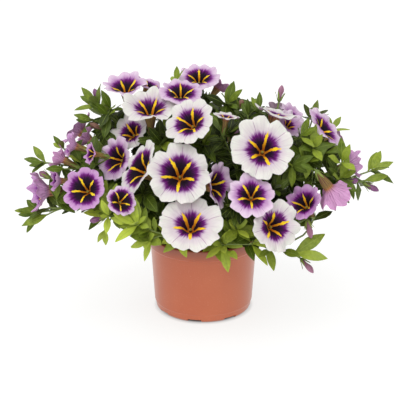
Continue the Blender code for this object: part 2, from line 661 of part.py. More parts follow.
class Plan:
    """Where every stem, twig, calyx, bud and leaf stands."""

    def __init__(self, solids):
        self.branches = {spec[0]: [] for spec in SPRAYS}
        self.missed = []
        self.thicket = Thicket()
        for name, mesh in solids.items():
            self.thicket.add(name, mesh)
        self.blooms = {spec[0]: spec for spec in BLOOMS}
        self.sights = [sight(spec) for spec in BLOOMS]
        for spec in BLOOMS:
            self.thicket.add(spec[0], bloom(spec))
        leafy = [self.start_stem(spec) for spec in SPRAYS]
        for name, carried in CARRIES.items():
            for flower in carried:
                self.hang(name, flower, *calyx_place(self.blooms[flower]))
        for name, buds in BUDS.items():
            for x, y, z, azimuth, elevation, length in buds:
                self.hang_bud(name, Vector((x, y, z)), heading(azimuth, elevation), length)
        shoots = [self.start_shoot(name, *shoot) for name in SHOOTS for shoot in SHOOTS[name]]
        for shoot in shoots + leafy:
            if shoot:
                self.dress(*shoot)

    def keep(self, name, branch):
        self.branches[name].append(branch)
        self.thicket.add(name, tube(branch.path, branch.first, branch.last))
        return branch

    def start_stem(self, spec):
        """Main stem of a spray with the places where leaves may grow."""
        name = spec[0]
        places = BACK_NODES if name.startswith("spray_back") else STEM_NODES
        path, nodes = with_nodes(stem_path(spec), places)
        if self.thicket.blocked(tube(path, STEM_RADIUS, STEM_TIP_RADIUS, CLEARANCE)):
            self.missed.append("stem " + name)
        branch = self.keep(name, Branch(path, STEM_RADIUS, STEM_TIP_RADIUS))
        return name, branch, nodes, 2 * len(nodes) + 1, STEM_LEAF_LENGTH, STEM_TILTS

    def reach(self, name, target, out, last):
        """Clear path for a twig from the spray's stem to a target, or None."""
        stem = self.branches[name][0].path
        places = []
        for a, b in zip(stem[2:], stem[3:]):
            if (b - a).length > 2 * NODE_LENGTH:
                places.append(((a + b) / 2, (b - a).normalized()))
        places.sort(key=lambda place: (target - place[0]).length
                    - TWIG_LEAN * (target - place[0]).dot(place[1]))
        for start, along in places:
            gap = (target - start).length
            lead = (along + (target - start).normalized()).normalized()
            for pull, push in TWIG_BENDS:
                path = curve(start, lead * gap * pull, target, out * gap * push, TWIG_STEPS)
                if not self.thicket.blocked(tube(path, TWIG_RADIUS, last, CLEARANCE), (name,)):
                    return path
        return None

    def hang(self, name, flower, foot, out, bud_length=None):
        """Set a calyx and the stalk that carries it."""
        if self.thicket.blocked(calyx(foot, out, CLEARANCE), (flower, name)):
            self.missed.append("calyx of " + flower + " on " + name)
        path = self.reach(name, foot - out * STALK_END, out, TWIG_RADIUS)
        if not path:
            self.missed.append("stalk for " + flower + " of " + name)
            return
        branch = self.keep(name, Branch(path, TWIG_RADIUS, TWIG_RADIUS, STALK_SIDES))
        branch.cup = (foot, out, bud_length)
        self.thicket.add(name, calyx(foot, out))

    def hang_bud(self, name, foot, out, length):
        floor = foot + out * CALYX_FLOOR
        if self.thicket.blocked(bud(floor, out, length, CLEARANCE)):
            self.missed.append("bud of " + name)
            return
        self.hang(name, "bud", foot, out, length)
        self.thicket.add(name, bud(floor, out, length))

    def start_shoot(self, name, x, y, z, azimuth, elevation, count, length):
        """Twig that ends in a tuft of leaves."""
        last = TWIG_RADIUS * TWIG_TAPER
        path = self.reach(name, Vector((x, y, z)), heading(azimuth, elevation), last)
        if not path:
            self.missed.append("shoot of %s at %g %g %g" % (name, x, y, z))
            return None
        end = path[-1] - path[-2]
        nodes = count // 2
        base = path[-1] - end.normalized() * min(NODE_LENGTH * nodes, end.length * TUFT_PART)
        tuft = [base + (path[-1] - base) * k / nodes for k in range(1, nodes + 1)] if nodes else []
        start = len(path) - 1
        path = path[:-1] + ([base] + tuft if nodes else [path[-1]])
        branch = self.keep(name, Branch(path, TWIG_RADIUS, last))
        return name, branch, [start + k for k in range(nodes)], count, length, SHOOT_TILTS

    def hides_bloom(self, *points):
        """Whether a point stands close in front of an open bloom."""
        for centre, out, radius in self.sights:
            for point in points:
                ahead = (point - centre).dot(out)
                if 0 < ahead < SIGHT_DEPTH and (point - centre - out * ahead).length < radius:
                    return True
        return False

    def dress(self, name, branch, nodes, count, length, tilts):
        """Leaves out of the faces of a branch: its end first, then down it in crossed pairs."""
        grown = int(self.try_leaf(name, branch, "end", length * END_LEAF, END_TILTS))
        for k, segment in enumerate(reversed(nodes)):
            pair = (0, 2) if k % 2 == 0 else (1, 3)
            for side in pair + ((1, 3) if k % 2 == 0 else (0, 2)):
                if grown >= count or sum((segment, s) in branch.blades for s in range(4)) >= 2:
                    break
                grown += int(self.try_leaf(name, branch, (segment, side), length, tilts))

    def try_leaf(self, name, branch, key, length, tilts):
        """Turn, tilt and shorten a leaf until it is clear of everything."""
        root, normal, along = branch.face(key)
        lift = across(along) if key == "end" else normal
        side = along.cross(lift)
        spins = END_SPINS if key == "end" else LEAF_SPINS
        for size in LEAF_SIZES:
            for tilt in tilts:
                for spin in spins:
                    a, t = math.radians(spin), math.radians(tilt)
                    radial = lift * math.cos(a) + side * math.sin(a)
                    direction = along * math.cos(t) + radial * math.sin(t)
                    light = UP + Vector((0, -LEAF_TURN if root.y < FAR_SIDE else LEAF_TURN, 0))
                    top = across(direction, light + along * FACE_ALONG + radial * FACE_RADIAL)
                    long = length * size
                    reach = direction * long
                    if self.hides_bloom(root + reach * SIGHT_LEAF, root + reach):
                        continue
                    blade = (root, direction, top, long, long * LEAF_WIDTH)
                    foot = branch.corners(key)
                    outer = leaf(blade, LEAF_CLEARANCE, foot=foot)
                    if any(v.z < POT_KEEP_UNDER and v.xy.length < POT_KEEP_OFF for v in outer[0]):
                        continue
                    rooted = name + " rooted"
                    if self.thicket.blocked(outer, (name, rooted)):
                        continue
                    inner = leaf(blade, first=LEAF_FREE)
                    if self.thicket.blocked(inner, (rooted,)):
                        continue
                    branch.blades[key] = blade
                    self.thicket.add(name, inner)
                    self.thicket.add(rooted, leaf(blade, foot=foot))
                    return True
        return False


COLOURS = {  # base colour, roughness
    "terracotta_plastic": ((0.52, 0.15, 0.075), 0.45),
    "peat": ((0.018, 0.012, 0.009), 0.95),
    "leaf": ((0.09, 0.19, 0.035), 0.55),
    "cream": ((0.82, 0.76, 0.80), 0.6),
    "lilac": ((0.60, 0.42, 0.64), 0.6),
    "violet": ((0.42, 0.24, 0.50), 0.6),
    "dusty": ((0.50, 0.28, 0.46), 0.6),
}


def material(name):
    """The named material, made once."""
    found = bpy.data.materials.get(name)
    if found:
        return found
    made = bpy.data.materials.new(name)
    made.use_nodes = True
    colour, rough = COLOURS[name]
    shader = made.node_tree.nodes["Principled BSDF"]
    shader.inputs["Base Color"].default_value = (*colour, 1)
    shader.inputs["Roughness"].default_value = rough
    shader.inputs["Metallic"].default_value = 0.0
    made.diffuse_color = (*colour, 1)
    return made


def mesh_object(name, mesh, collection, colour=None):
    """Object in metres from points in millimetres, its faces turned outward."""
    verts, faces = mesh
    data = bpy.data.meshes.new(name)
    data.from_pydata([v * MM for v in verts], [], faces)
    work = bmesh.new()
    work.from_mesh(data)
    bmesh.ops.recalc_face_normals(work, faces=work.faces)
    if work.calc_volume(signed=True) < 0:
        bmesh.ops.reverse_faces(work, faces=work.faces)
    work.to_mesh(data)
    work.free()
    data.shade_smooth()
    obj = bpy.data.objects.new(name, data)
    collection.objects.link(obj)
    if colour:
        data.materials.append(material(colour))
    return obj


def settle(obj):
    """Turn the object's modifiers into plain triangles."""
    view = bpy.context.evaluated_depsgraph_get()
    data = bpy.data.meshes.new_from_object(obj.evaluated_get(view))
    obj.modifiers.clear()
    old = obj.data
    data.name = obj.name
    obj.data = data
    bpy.data.meshes.remove(old)
    work = bmesh.new()
    work.from_mesh(data)
    bmesh.ops.triangulate(work, faces=[f for f in work.faces if len(f.verts) > 3])
    work.to_mesh(data)
    work.free()
    data.shade_smooth()


def islands(work):
    """Groups of joined faces."""
    left = set(work.faces)
    groups = []
    while left:
        start = left.pop()
        group, edge = {start}, [start]
        while edge:
            face = edge.pop()
            for rim in face.edges:
                for other in rim.link_faces:
                    if other in left:
                        left.discard(other)
                        group.add(other)
                        edge.append(other)
        groups.append(group)
    return groups


def tidy_seams(obj):
    """Weld slivers along the seams, then drop scraps and sealed hollows left by fusing."""
    for distance in SEAM_WELDS:
        work = bmesh.new()
        work.from_mesh(obj.data)
        if distance:
            bmesh.ops.remove_doubles(work, verts=work.verts, dist=distance * MM)
            bmesh.ops.dissolve_degenerate(work, edges=work.edges, dist=SLIVER * MM)
            bmesh.ops.triangulate(work, faces=[f for f in work.faces if len(f.verts) > 3])
        groups = sorted(islands(work), key=len, reverse=True)
        extra = [face for group in groups[1:] for face in group]
        bmesh.ops.delete(work, geom=extra, context="FACES")
        if all(len(edge.link_faces) == 2 for edge in work.edges):
            work.to_mesh(obj.data)
            work.free()
            return
        work.free()


def boolean(obj, operation, operands, solver="EXACT"):
    """Join or cut with everything in a collection."""
    step = obj.modifiers.new(operation, "BOOLEAN")
    step.operation = operation
    step.operand_type = "COLLECTION"
    step.collection = operands
    step.solver = solver
    settle(obj)


def empty_collection(name, parent):
    made = bpy.data.collections.new(name)
    parent.children.link(made)
    return made


def clear_collection(collection):
    for obj in list(collection.objects):
        data = obj.data
        bpy.data.objects.remove(obj)
        bpy.data.meshes.remove(data)


def cylinder(name, centre, radius, low, high, sides, collection):
    """Upright closed cylinder."""
    work = bmesh.new()
    spot = Matrix.Translation(Vector((centre.x, centre.y, (low + high) / 2)) * MM)
    bmesh.ops.create_cone(work, cap_ends=True, segments=sides, radius1=radius * MM,
                          radius2=radius * MM, depth=(high - low) * MM, matrix=spot)
    data = bpy.data.meshes.new(name)
    work.to_mesh(data)
    work.free()
    obj = bpy.data.objects.new(name, data)
    collection.objects.link(obj)
    return obj


def block(name, centre, size, azimuth, collection):
    """Closed box turned about Z."""
    work = bmesh.new()
    turn = Matrix.Rotation(math.radians(azimuth), 4, "Z")
    bmesh.ops.create_cube(work, size=1.0, matrix=Matrix.Translation(centre * MM) @ turn
                          @ Matrix.Diagonal((*(size * MM), 1)))
    data = bpy.data.meshes.new(name)
    work.to_mesh(data)
    work.free()
    obj = bpy.data.objects.new(name, data)
    collection.objects.link(obj)
    return obj


def turned(name, profile, steps, collection, colour):
    """Closed body turned from a profile in millimetres."""
    data = bpy.data.meshes.new(name)
    data.from_pydata([(r * MM, 0, z * MM) for r, z in profile],
                     [(k, k + 1) for k in range(len(profile) - 1)], [])
    obj = bpy.data.objects.new(name, data)
    collection.objects.link(obj)
    turn = obj.modifiers.new("Turn", "SCREW")
    turn.steps = turn.render_steps = steps
    turn.use_merge_vertices = True
    turn.merge_threshold = 0.00001
    settle(obj)
    work = bmesh.new()
    work.from_mesh(obj.data)
    bmesh.ops.recalc_face_normals(work, faces=work.faces)
    work.to_mesh(obj.data)
    work.free()
    obj.data.materials.append(material(colour))
    return obj


def build_pot(collection, cutters):
    """Turned pot with a rim band, cut-outs in its foot and drain holes in its floor."""
    pot = turned("pot", POT_PROFILE, POT_SIDES, collection, "terracotta_plastic")
    for k in range(NOTCH_COUNT):
        azimuth = NOTCH_START_DEG + 360 / NOTCH_COUNT * k
        block("notch_%d" % (k + 1), heading(azimuth, 0) * NOTCH_MIDDLE,
              Vector((NOTCH_REACH, NOTCH_WIDTH, NOTCH_HEIGHT * 2)), azimuth, cutters)
    for k in range(DRAIN_COUNT):
        centre = heading(DRAIN_START_DEG + 360 / DRAIN_COUNT * k, 0) * DRAIN_RING
        cylinder("drain_%d" % (k + 1), centre, DRAIN_RADIUS, DRAIN_LOW, DRAIN_HIGH,
                 DRAIN_SIDES, cutters)
    boolean(pot, "DIFFERENCE", cutters)
    return pot


def build_peat(collection, cutters):
    """Plug of peat with a lumpy top and a hole for each stem."""
    peat = turned("peat", PEAT_PROFILE, PEAT_SIDES, collection, "peat")
    for vert in peat.data.vertices:
        if vert.co.z > (PEAT_TOP - LUMPY_DEPTH) * MM:
            vert.co.z += noise.noise(vert.co * PEAT_GRAIN) * PEAT_LUMP * MM
    for spec in SPRAYS:
        cylinder("hole_" + spec[0], heading(spec[1], 0) * spec[2], HOLE_RADIUS,
                 PEAT_TOP - HOLE_DEPTH, PEAT_TOP + HOLE_OVER, HOLE_SIDES, cutters)
    boolean(peat, "DIFFERENCE", cutters)
    return peat


def as_millimetres(obj):
    """Points and triangles of an object."""
    return ([v.co / MM for v in obj.data.vertices], [tuple(p.vertices) for p in obj.data.polygons])


def build_spray(name, plan, collection, scrap):
    """Fuse a spray's leafy stem, shoots and stalks into one body."""
    stem, *twigs = plan.branches[name]
    base = mesh_object(name, stem.mesh(), collection, "leaf")
    for k, twig in enumerate(twigs):
        mesh_object("%s_twig_%d" % (name, k + 1), twig.mesh(), scrap)
    boolean(base, "UNION", scrap, "MANIFOLD")
    clear_collection(scrap)
    tidy_seams(base)


def main():
    for obj in list(bpy.data.objects):
        bpy.data.objects.remove(obj, do_unlink=True)
    scene = bpy.context.scene.collection
    whole = empty_collection("PottedCalibrachoa", scene)
    cutters = empty_collection("Cutters", scene)
    pot_cutters = empty_collection("PotCutters", cutters)
    peat_cutters = empty_collection("PeatCutters", cutters)
    scrap = empty_collection("Pieces", scene)
    pot = build_pot(whole, pot_cutters)
    peat = build_peat(whole, peat_cutters)
    plan = Plan({"pot": as_millimetres(pot), "peat": as_millimetres(peat)})
    for piece in plan.missed:
        print("no room for the", piece)
    for spec in BLOOMS:
        mesh_object(spec[0], bloom(spec), whole, spec[-1])
    for spec in SPRAYS:
        build_spray(spec[0], plan, whole, scrap)
    bpy.data.collections.remove(scrap)
    for group in (pot_cutters, peat_cutters):
        for cutter in group.objects:
            cutter.hide_render = True
            cutter.display_type = "WIRE"


main()
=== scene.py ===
"""Potted calibrachoa dressed over its frame: fine blooms, leaves, stems, buds, peat and pot.

Sizes are in millimetres, as in the part's own source, and MM turns them into metres. The plan
repeats the part's own placement, so each stem, leaf, calyx and bud stands where its solid is.
"""

import itertools
import json
import math
import random

import bmesh
import bpy
from mathutils import Matrix, Vector, noise
from mathutils.bvhtree import BVHTree

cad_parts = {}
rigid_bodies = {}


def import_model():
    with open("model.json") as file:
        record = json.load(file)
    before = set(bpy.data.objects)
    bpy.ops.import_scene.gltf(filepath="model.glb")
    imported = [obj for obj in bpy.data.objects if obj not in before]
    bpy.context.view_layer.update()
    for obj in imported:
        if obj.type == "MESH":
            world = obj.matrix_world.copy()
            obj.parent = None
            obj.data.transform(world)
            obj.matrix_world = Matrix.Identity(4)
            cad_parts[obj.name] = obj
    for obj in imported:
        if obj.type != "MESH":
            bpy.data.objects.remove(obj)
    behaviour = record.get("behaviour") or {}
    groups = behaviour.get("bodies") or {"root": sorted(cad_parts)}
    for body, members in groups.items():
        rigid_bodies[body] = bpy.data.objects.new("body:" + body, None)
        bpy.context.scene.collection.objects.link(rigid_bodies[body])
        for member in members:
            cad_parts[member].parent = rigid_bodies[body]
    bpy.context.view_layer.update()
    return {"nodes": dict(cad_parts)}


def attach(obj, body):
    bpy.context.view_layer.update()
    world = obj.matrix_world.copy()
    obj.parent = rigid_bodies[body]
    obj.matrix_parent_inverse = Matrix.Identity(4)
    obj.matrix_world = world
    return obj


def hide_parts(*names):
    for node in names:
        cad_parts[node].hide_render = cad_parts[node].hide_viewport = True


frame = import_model()

MM = 0.001
UP = Vector((0, 0, 1))

# Pot, as radius and height: inside floor, up the inside, down the outside, under the foot
POT_PROFILE = (
    (0.0, 5.2), (42.2, 5.2), (47.2, 71.2), (48.3, 72.0), (50.0, 71.0), (50.0, 62.2),
    (48.5, 61.2), (45.3, 8.0), (44.7, 7.4), (43.9, 2.2), (41.4, 0.0), (38.6, 0.0),
    (37.6, 3.2), (0.0, 3.2))
POT_STEPS = 128
NOTCH_COUNT, NOTCH_START, NOTCH_MIDDLE = 8, -101.0, 42.0    # cut-outs of the foot
NOTCH_SIZE = (16.0, 12.65, 6.24)
DRAIN_COUNT, DRAIN_START, DRAIN_RING = 4, 20.0, 24.0
DRAIN_SIZE, DRAIN_MIDDLE, DRAIN_SIDES = (4.0, 4.0, 8.0), 4.0, 24
POT_CORNER, POT_SHARP = 0.7, 32      # reach of its soft corners, and the least sharp angle in degrees
PEAT_TOP, PEAT_SIDES = 64.0, 72
PEAT_SIDE = ((41.0, 6.0), (45.6, 61.0))     # radius and height, up the side of the plug
PEAT_RINGS = (45.2, 43, 40.5, 38, 35, 32, 29, 26, 23, 20, 17, 14, 11, 8, 5, 2.5)
LUMPS = ((1.4, 0.13), (0.9, 0.6))   # height and scale of its unevenness
CRUMBS, CRUMB_SIDES, CRUMB_RING, CRUMB_LIFT = 520, 5, 44.0, 0.2
CRUMB_SIZE, CRUMB_SQUAT = (0.4, 1.3), (0.6, 1.2)

# Blooms: mouth centre x, y, z, radius, facing azimuth and elevation in degrees, roll of the
# first star arm, depth of the cup (0 flat to 1 half open), petal colour
BLOOMS = {
    "top_left": (-70, 16, 204, 21.0, -107, 75, 41, 0.15, "lilac"),
    "top_left_rear": (-49, 38, 201, 16.5, -3, 62, 10, 0.15, "lilac"),
    "crown_left": (-46, -28, 196, 25.0, -90, 72, -25, 0.10, "cream"),
    "crown": (-20, -17, 207, 19.5, -90, 69, 0, 0.12, "lilac"),
    "crown_top": (-4, 16, 213, 20.0, -90, 67, 0, 0.12, "lilac"),
    "crown_rear": (14, 27, 202, 14.5, 42, 42, 20, 0.45, "dusty"),
    "brow": (-12, -56, 191, 23.5, -121, 44, 10, 0.14, "cream"),
    "heart_right": (49, -69, 171, 27.5, -90, 34, -16, 0.05, "cream"),
    "heart_left": (-20, -77, 152, 27.5, -90, 37, 30, 0.08, "cream"),
    "rim_front": (-11, -99, 116, 28.0, -90, 54, 34, 0.03, "cream"),
    "cheek": (-54.5, -62, 152, 26.0, -136, 36, 25, 0.12, "cream"),
    "cheek_left": (-76.5, -34, 152, 22.5, -134, 24, 20, 0.30, "lilac"),
    "cheek_top": (-64.5, -13, 170.5, 21.0, -124, 43, 48, 0.24, "cream"),
    "left": (-100, -73, 137, 20.0, -113, 33, 35, 0.12, "violet"),
    "far_left": (-142, -38, 124, 24.0, -164, 4, 10, 0.72, "violet"),
    "left_shoulder": (-105, -10, 163, 15.0, 178, 28, 0, 0.60, "dusty"),
    "left_lilac": (-113, -43, 167, 14.0, -172, 22, 0, 0.60, "violet"),
    "left_small": (-95, -58, 164, 11.5, -154, 18, 0, 0.45, "violet"),
    "left_half": (-124, -41, 155, 15.0, 170, 25, 0, 0.80, "dusty"),
    "left_behind": (-126, -52, 138, 12.5, -158, 10, 0, 0.60, "violet"),
    "left_low": (-68, -88, 132, 14.0, -67, 33, 20, 0.15, "lilac"),
    "middle": (12, -64, 137, 23.0, -32, 10, 60, 0.25, "lilac"),
    "right_low": (39, -91, 138, 20.5, -90, 41, 37, 0.08, "lilac"),
    "right_rim": (59, -93, 112, 24.0, -61, 26, 60, 0.08, "cream"),
    "right": (84, -69, 124, 20.0, -129, 47, 30, 0.38, "violet"),
    "right_nodding": (109, -64, 131, 21.0, 12, -53, 0, 0.70, "dusty"),
    "far_right": (130, -31, 146, 16.5, 14, 8, 0, 0.60, "violet"),
    "right_shoulder": (106, -20, 176, 22.5, -13, 40, 15, 0.12, "lilac"),
    "brow_right": (61, -37, 194, 20.0, 21, 72, 0, 0.10, "cream"),
    "temple": (75, -23, 180, 14.5, -45, 45, 20, 0.28, "lilac"),
    "temple_rear": (79, 3, 183, 14.0, -14, 60, 0, 0.20, "lilac"),
    "brow_small": (19, -49, 194, 12.0, 21, 80, 0, 0.15, "cream"),
    "back_right": (120, 45, 150, 21.5, 20, 32, 10, 0.10, "lilac"),
    "back_upper_right": (78, 66, 163, 22.5, 48, 48, 30, 0.10, "cream"),
    "back": (30, 98, 138, 25.0, 80, 54, 0, 0.05, "cream"),
    "back_upper_left": (-26, 76, 176, 22.5, 100, 50, 50, 0.10, "lilac"),
    "back_left": (-72, 80, 146, 24.0, 132, 34, 20, 0.08, "cream"),
    "back_far_left": (-116, 40, 158, 20.5, 162, 36, 0, 0.12, "violet"),
}
# How much farther the violet of a bloom reaches than on the plainest ones, in radii; on left_low the
# farther reach also darkens the bloom as painted shade
VIOLET_REACH_AND_SHADE = {"cream": 0.01, "lilac": 0.10, "violet": 0.15, "dusty": 0.15, "brow": 0.05,
         "heart_left": 0.08, "heart_right": -0.01, "rim_front": -0.08, "cheek": 0.17,
         "left": 0.21, "right": 0.09, "right_low": 0.07, "right_rim": 0.0, "left_low": 0.24,
         "crown": 0.14, "temple": -0.10, "temple_rear": -0.08, "brow_right": -0.05}
FAR_LIFT = {"top_left": 0.30, "crown_left": 0.22}   # far petals stand up by this, in radii
PINCHED = {"cheek": 0.66, "middle": 0.9, "cheek_left": 0.95}    # pressed to this part of its width
PINCH_FULL = 0.6        # of the radius: from here out the whole pinch is felt
LOBES = 5
TUBE_LENGTH, TUBE_LEAST = 1.15, 15.0    # in radii, and at the least
TUBE_END_RADIUS = 1.5
NECK_RADIUS, NECK_DROP = 0.19, 0.08
# Rings of a bloom: its radius and height when flat, then what a full cup adds to each
RINGS = ((0.10, -0.38, 0.0, -0.20), (0.26, -0.14, -0.09, -0.18), (0.56, -0.02, -0.21, -0.05),
         (1.0, 0.05, -0.38, 0.30))
# Petals: how far the edge is notched at seams and ribs, and the face folded there, in radii,
# each with its width as part of a lobe
SEAM_NOTCH, RIB_NOTCH = (-0.17, 0.09), (-0.05, 0.05)
SEAM_FOLD, RIB_FOLD = (0.022, 0.10), (-0.020, 0.06)
EDGE_NOISE = ((0.07, 3), (0.035, 12))   # unevenness of the edge and its scale
EDGE_WAVE, SWELL, RIPPLE = 0.036, 0.20, 0.08    # unevenness of the face, in radii
CUP_RUFFLE = 1.3        # how much more of it a full cup has
EDGE_DROP = 0.05
SEED_STEP = 7.3         # between the noise of one bloom and the next
PISTIL_RISE, ANTHER_RING = 0.11, 0.9    # in radii, in millimetres
LOBE_LIFT, LOBE_SIZE = (-0.05, 0.06), (0.94, 1.02)
PETAL_SHEET = 0.4
PETAL_COLUMNS = 16      # for each lobe
FRONT_ROWS = (0.98, 0.955, 0.92, 0.88, 0.83, 0.78, 0.72, 0.66, 0.60, 0.54, 0.48, 0.42, 0.36, 0.31,
              0.26, 0.22, 0.18, 0.14, 0.10, 0.06)
BACK_ROWS = tuple(part for part in reversed(FRONT_ROWS) if part > 0.25)
TUBE_ROWS = (0.0, 0.12, 0.3, 0.5, 0.7, 0.86)

# Calyx, in its own frame with the tube along +Z, and bud
CALYX_FOOT, CALYX_VALLEY, CALYX_TIP = 2.0, 2.4, 4.4
CALYX_FLOOR, CALYX_VALLEY_Z, CALYX_TIP_Z = 1.0, 1.5, 7.5
CALYX_GAP = 0.45        # between the end of a tube and the floor of its calyx
CUP_PROFILE = ((0.75, -1.2), (1.5, -0.4), (2.1, 0.6), (2.35, 1.7), (1.95, 1.7), (1.7, 1.1))
CUP_SIDES = 10
SEPAL_ROWS = ((0.0, 0.9), (0.25, 1.0), (0.55, 0.86), (0.85, 0.5))
SEPAL_WIDTH, SEPAL_SHEET, SEPAL_DROOP = 1.9, 0.35, 0.10
SEPAL_ROOT, SEPAL_OVER = (1.9, 0.7), 0.6    # radius and height of its root; its tip over the solid's
BUD_RADIUS, BUD_WAIST = 2.5, 0.55   # the waist is the widest place, as part of its length
BUD_ROWS = ((0.06, 0.5), (0.25, 0.62), (0.42, 0.86), (0.58, 1.0), (0.74, 0.92), (0.87, 0.62),
            (0.95, 0.34))
BUD_SIDES, BUD_PLEAT, BUD_TWIST = 15, 0.13, 0.9

# Sprays. Stem: soil azimuth in degrees and radius, tip x, y, z, heading of the tip, height of
# the bow over the soil. Then how fresh its leaves are, and the blooms that it carries. Leafy
# shoots: tip x, y, z, heading azimuth and elevation, leaves, leaf length. Closed buds: foot
# x, y, z, heading azimuth and elevation, length, look.
SPRAYS = {
    "far_left": (
        (-168, 34, -136, -37, 108, 184, 4, 34), 0.46, ("far_left", "left_behind"),
        ((-147, -30, 101, 186, 0, 7, 21), (-136, -40, 103, 196, -22, 1, 28),
         (-127, -46, 119, 150, 78, 2, 23)),
        ((-133, -44, 138, 176, 30, 9, "pink"),)),
    "left": (
        (-158, 22, -112, -30, 146, 190, 20, 52), 0.52,
        ("left_half", "left_lilac", "left_shoulder", "left_small"),
        ((-139, -38, 150, 184, 16, 6, 18), (-122, -28, 160, 170, 60, 3, 15),
         (-106, -40, 150, 170, 75, 2, 22), (-119, -48, 147, 196, 10, 2, 20)), ()),
    "left_front": (
        (-140, 33, -84, -58, 110, 215, 14, 40), 0.98, ("left", "left_low"),
        ((-84, -70, 100, 210, -50, 2, 15), (-80, -80, 116, 215, 10, 3, 17)),
        ((-84, -74, 112, 215, 0, 13, "dark"),)),
    "cheek": (
        (-132, 20, -52, -38, 140, 215, 30, 48), 0.46, ("cheek_left", "cheek", "cheek_top"),
        ((-52, -58, 128, 196, 10, 2, 30),), ()),
    "top_left": (
        (172, 12, -78, 14, 172, 170, 48, 70), 0.40, ("top_left", "top_left_rear"),
        ((-96, 6, 191, 168, 50, 6, 21), (-98, 0, 177, 178, 15, 4, 20),
         (-82, 0, 188, 210, 60, 3, 20), (-84, -4, 183, 215, 35, 3, 21)),
        ((-88, -6, 170, 200, 30, 14, "brown"), (-94, 10, 190, 160, 76, 13, "dark"))),
    "crown": (
        (-120, 8, -28, -20, 172, -140, 62, 76), 0.52, ("crown_left", "crown", "brow"),
        ((-24, 6, 210, 100, 75, 3, 17), (-38, -38, 165, -30, 8, 3, 23),
         (0, -36, 165, -60, 30, 4, 23)), ()),
    "crown_top": (
        (60, 8, 0, 20, 178, 80, 80, 76), 0.36, ("crown_top", "crown_rear"),
        ((22, -2, 194, 0, 52, 6, 20), (-10, 40, 188, 110, 60, 5, 20)),
        ((31, -8, 190, -20, 70, 8, "brown"),)),
    "front": (
        (-108, 36, -26, -72, 92, -110, 12, 22), 1.08, ("rim_front",),
        ((-57, -86, 111, -140, 26, 6, 24), (-47, -82, 94, -112, -48, 4, 18)), ()),
    "front_upper": (
        (-98, 20, -12, -40, 126, -95, 40, 44), 0.36, ("heart_left",),
        ((10, -40, 158, -60, 60, 4, 23),), ()),
    "front_right": (
        (-80, 38, 20, -78, 84, -72, 2, 18), 1.0, (),
        ((15, -76, 88, -95, -30, 4, 18), (29, -72, 101, -60, 40, 5, 17),
         (42, -68, 86, -35, 6, 4, 23)), ()),
    "middle": (
        (-74, 24, 20, -58, 118, -70, 30, 40), 0.38, ("middle", "right_low"),
        ((26, -66, 118, -80, 10, 3, 18), (60, -62, 134, -60, 60, 3, 17)), ()),
    "heart": (
        (-50, 13, 40, -34, 146, -50, 48, 60), 0.34, ("heart_right", "brow_small"),
        ((21, -38, 174, -20, 60, 3, 28), (38, -32, 190, 40, 66, 3, 16),
         (52, -30, 142, -30, 40, 3, 20)), ()),
    "right_rim": (
        (-50, 38, 66, -72, 82, -44, 0, 20), 0.62, ("right_rim", "right"),
        ((57, -72, 83, -70, -50, 1, 18), (78, -74, 80, -34, 6, 2, 31),
         (72, -56, 104, -20, 20, 3, 18)),
        ((88, -66, 107, -60, -64, 15, "pink"), (84, -68, 72, -40, -36, 15, "pink"))),
    "brow_right": (
        (-28, 14, 58, -20, 160, -20, 55, 66), 0.54, ("brow_right", "temple"),
        ((48, -24, 193, 70, 62, 4, 17), (84, -34, 172, -40, 52, 4, 18),
         (76, -48, 150, -60, 12, 4, 20)),
        ((66, -8, 197, 60, 70, 13, "pink"),)),
    "right_shoulder": (
        (-8, 22, 92, -16, 148, -8, 34, 60), 0.58, ("right_shoulder", "temple_rear"),
        ((94, -38, 163, -60, 50, 5, 21), (114, 2, 168, 10, 60, 3, 17),
         (90, -40, 152, -50, 14, 4, 20)), ()),
    "far_right": (
        (-18, 33, 140, -34, 132, -8, 12, 40), 0.52, ("right_nodding", "far_right"),
        ((104, -38, 160, -40, 50, 5, 22), (118, -49, 154, -40, 44, 4, 21),
         (118, -44, 138, -30, 0, 4, 20), (148, -26, 139, -4, 14, 6, 22)),
        ((124, -40, 133, -20, 14, 9, "dark"), (140, -31, 129, -20, -24, 14, "dark"))),
    "back_right": (
        (24, 30, 96, 42, 126, 24, 24, 44), 0.36, ("back_right", "back_upper_right"),
        ((102, 50, 166, 40, 50, 5, 20), (96, 74, 116, 40, 0, 5, 21)), ()),
    "back": (
        (62, 28, 46, 72, 128, 60, 30, 46), 0.36, ("back",),
        ((52, 88, 112, 62, -6, 5, 21), (48, 78, 160, 60, 60, 5, 20)),
        ((60, 80, 146, 60, 40, 12, "pink"),)),
    "back_left": (
        (112, 27, -30, 70, 130, 112, 30, 46), 0.36, ("back_upper_left", "back_left"),
        ((-22, 96, 108, 104, -8, 5, 21), (-48, 78, 172, 120, 60, 5, 20)),
        ((-46, 92, 120, 120, 10, 12, "dark"),)),
    "back_far_left": (
        (148, 29, -96, 46, 126, 150, 22, 46), 0.36, ("back_far_left",),
        ((-110, 58, 116, 150, 0, 5, 21), (-92, 60, 166, 140, 50, 5, 20)), ()),
}
STEM_LOOKS = ("stem", "leaf_top", "leaf_under", "bud_pink", "bud_dark", "bud_brown")
STEM_RADIUS, STEM_TIP_RADIUS, STEM_STEPS = 1.4, 0.85, 4
STEM_FOOT, COLLAR = 55.5, 67.0      # a stem stands straight between these heights
TIP_PULL = 0.4          # how long a stem holds the heading of its tip, as part of its span
TWIG_RADIUS, TWIG_STEPS, TWIG_TAPER = 0.8, 2, 0.8
TWIG_LEAN = 0.4         # how much a twig would rather leave the stem below its target
TWIG_BENDS = ((0.35, 0.4), (0.2, 0.25), (0.5, 0.3), (0.15, 0.6), (0.6, 0.6))
STALK_END = 1.2         # from the end of a stalk to the foot of its calyx
BRANCH_SIDES, STALK_SIDES = 4, 3
TEST_SIDES, FINE_SIDES = 6, 8   # sides of a stem in the clearance test, and in the finer form

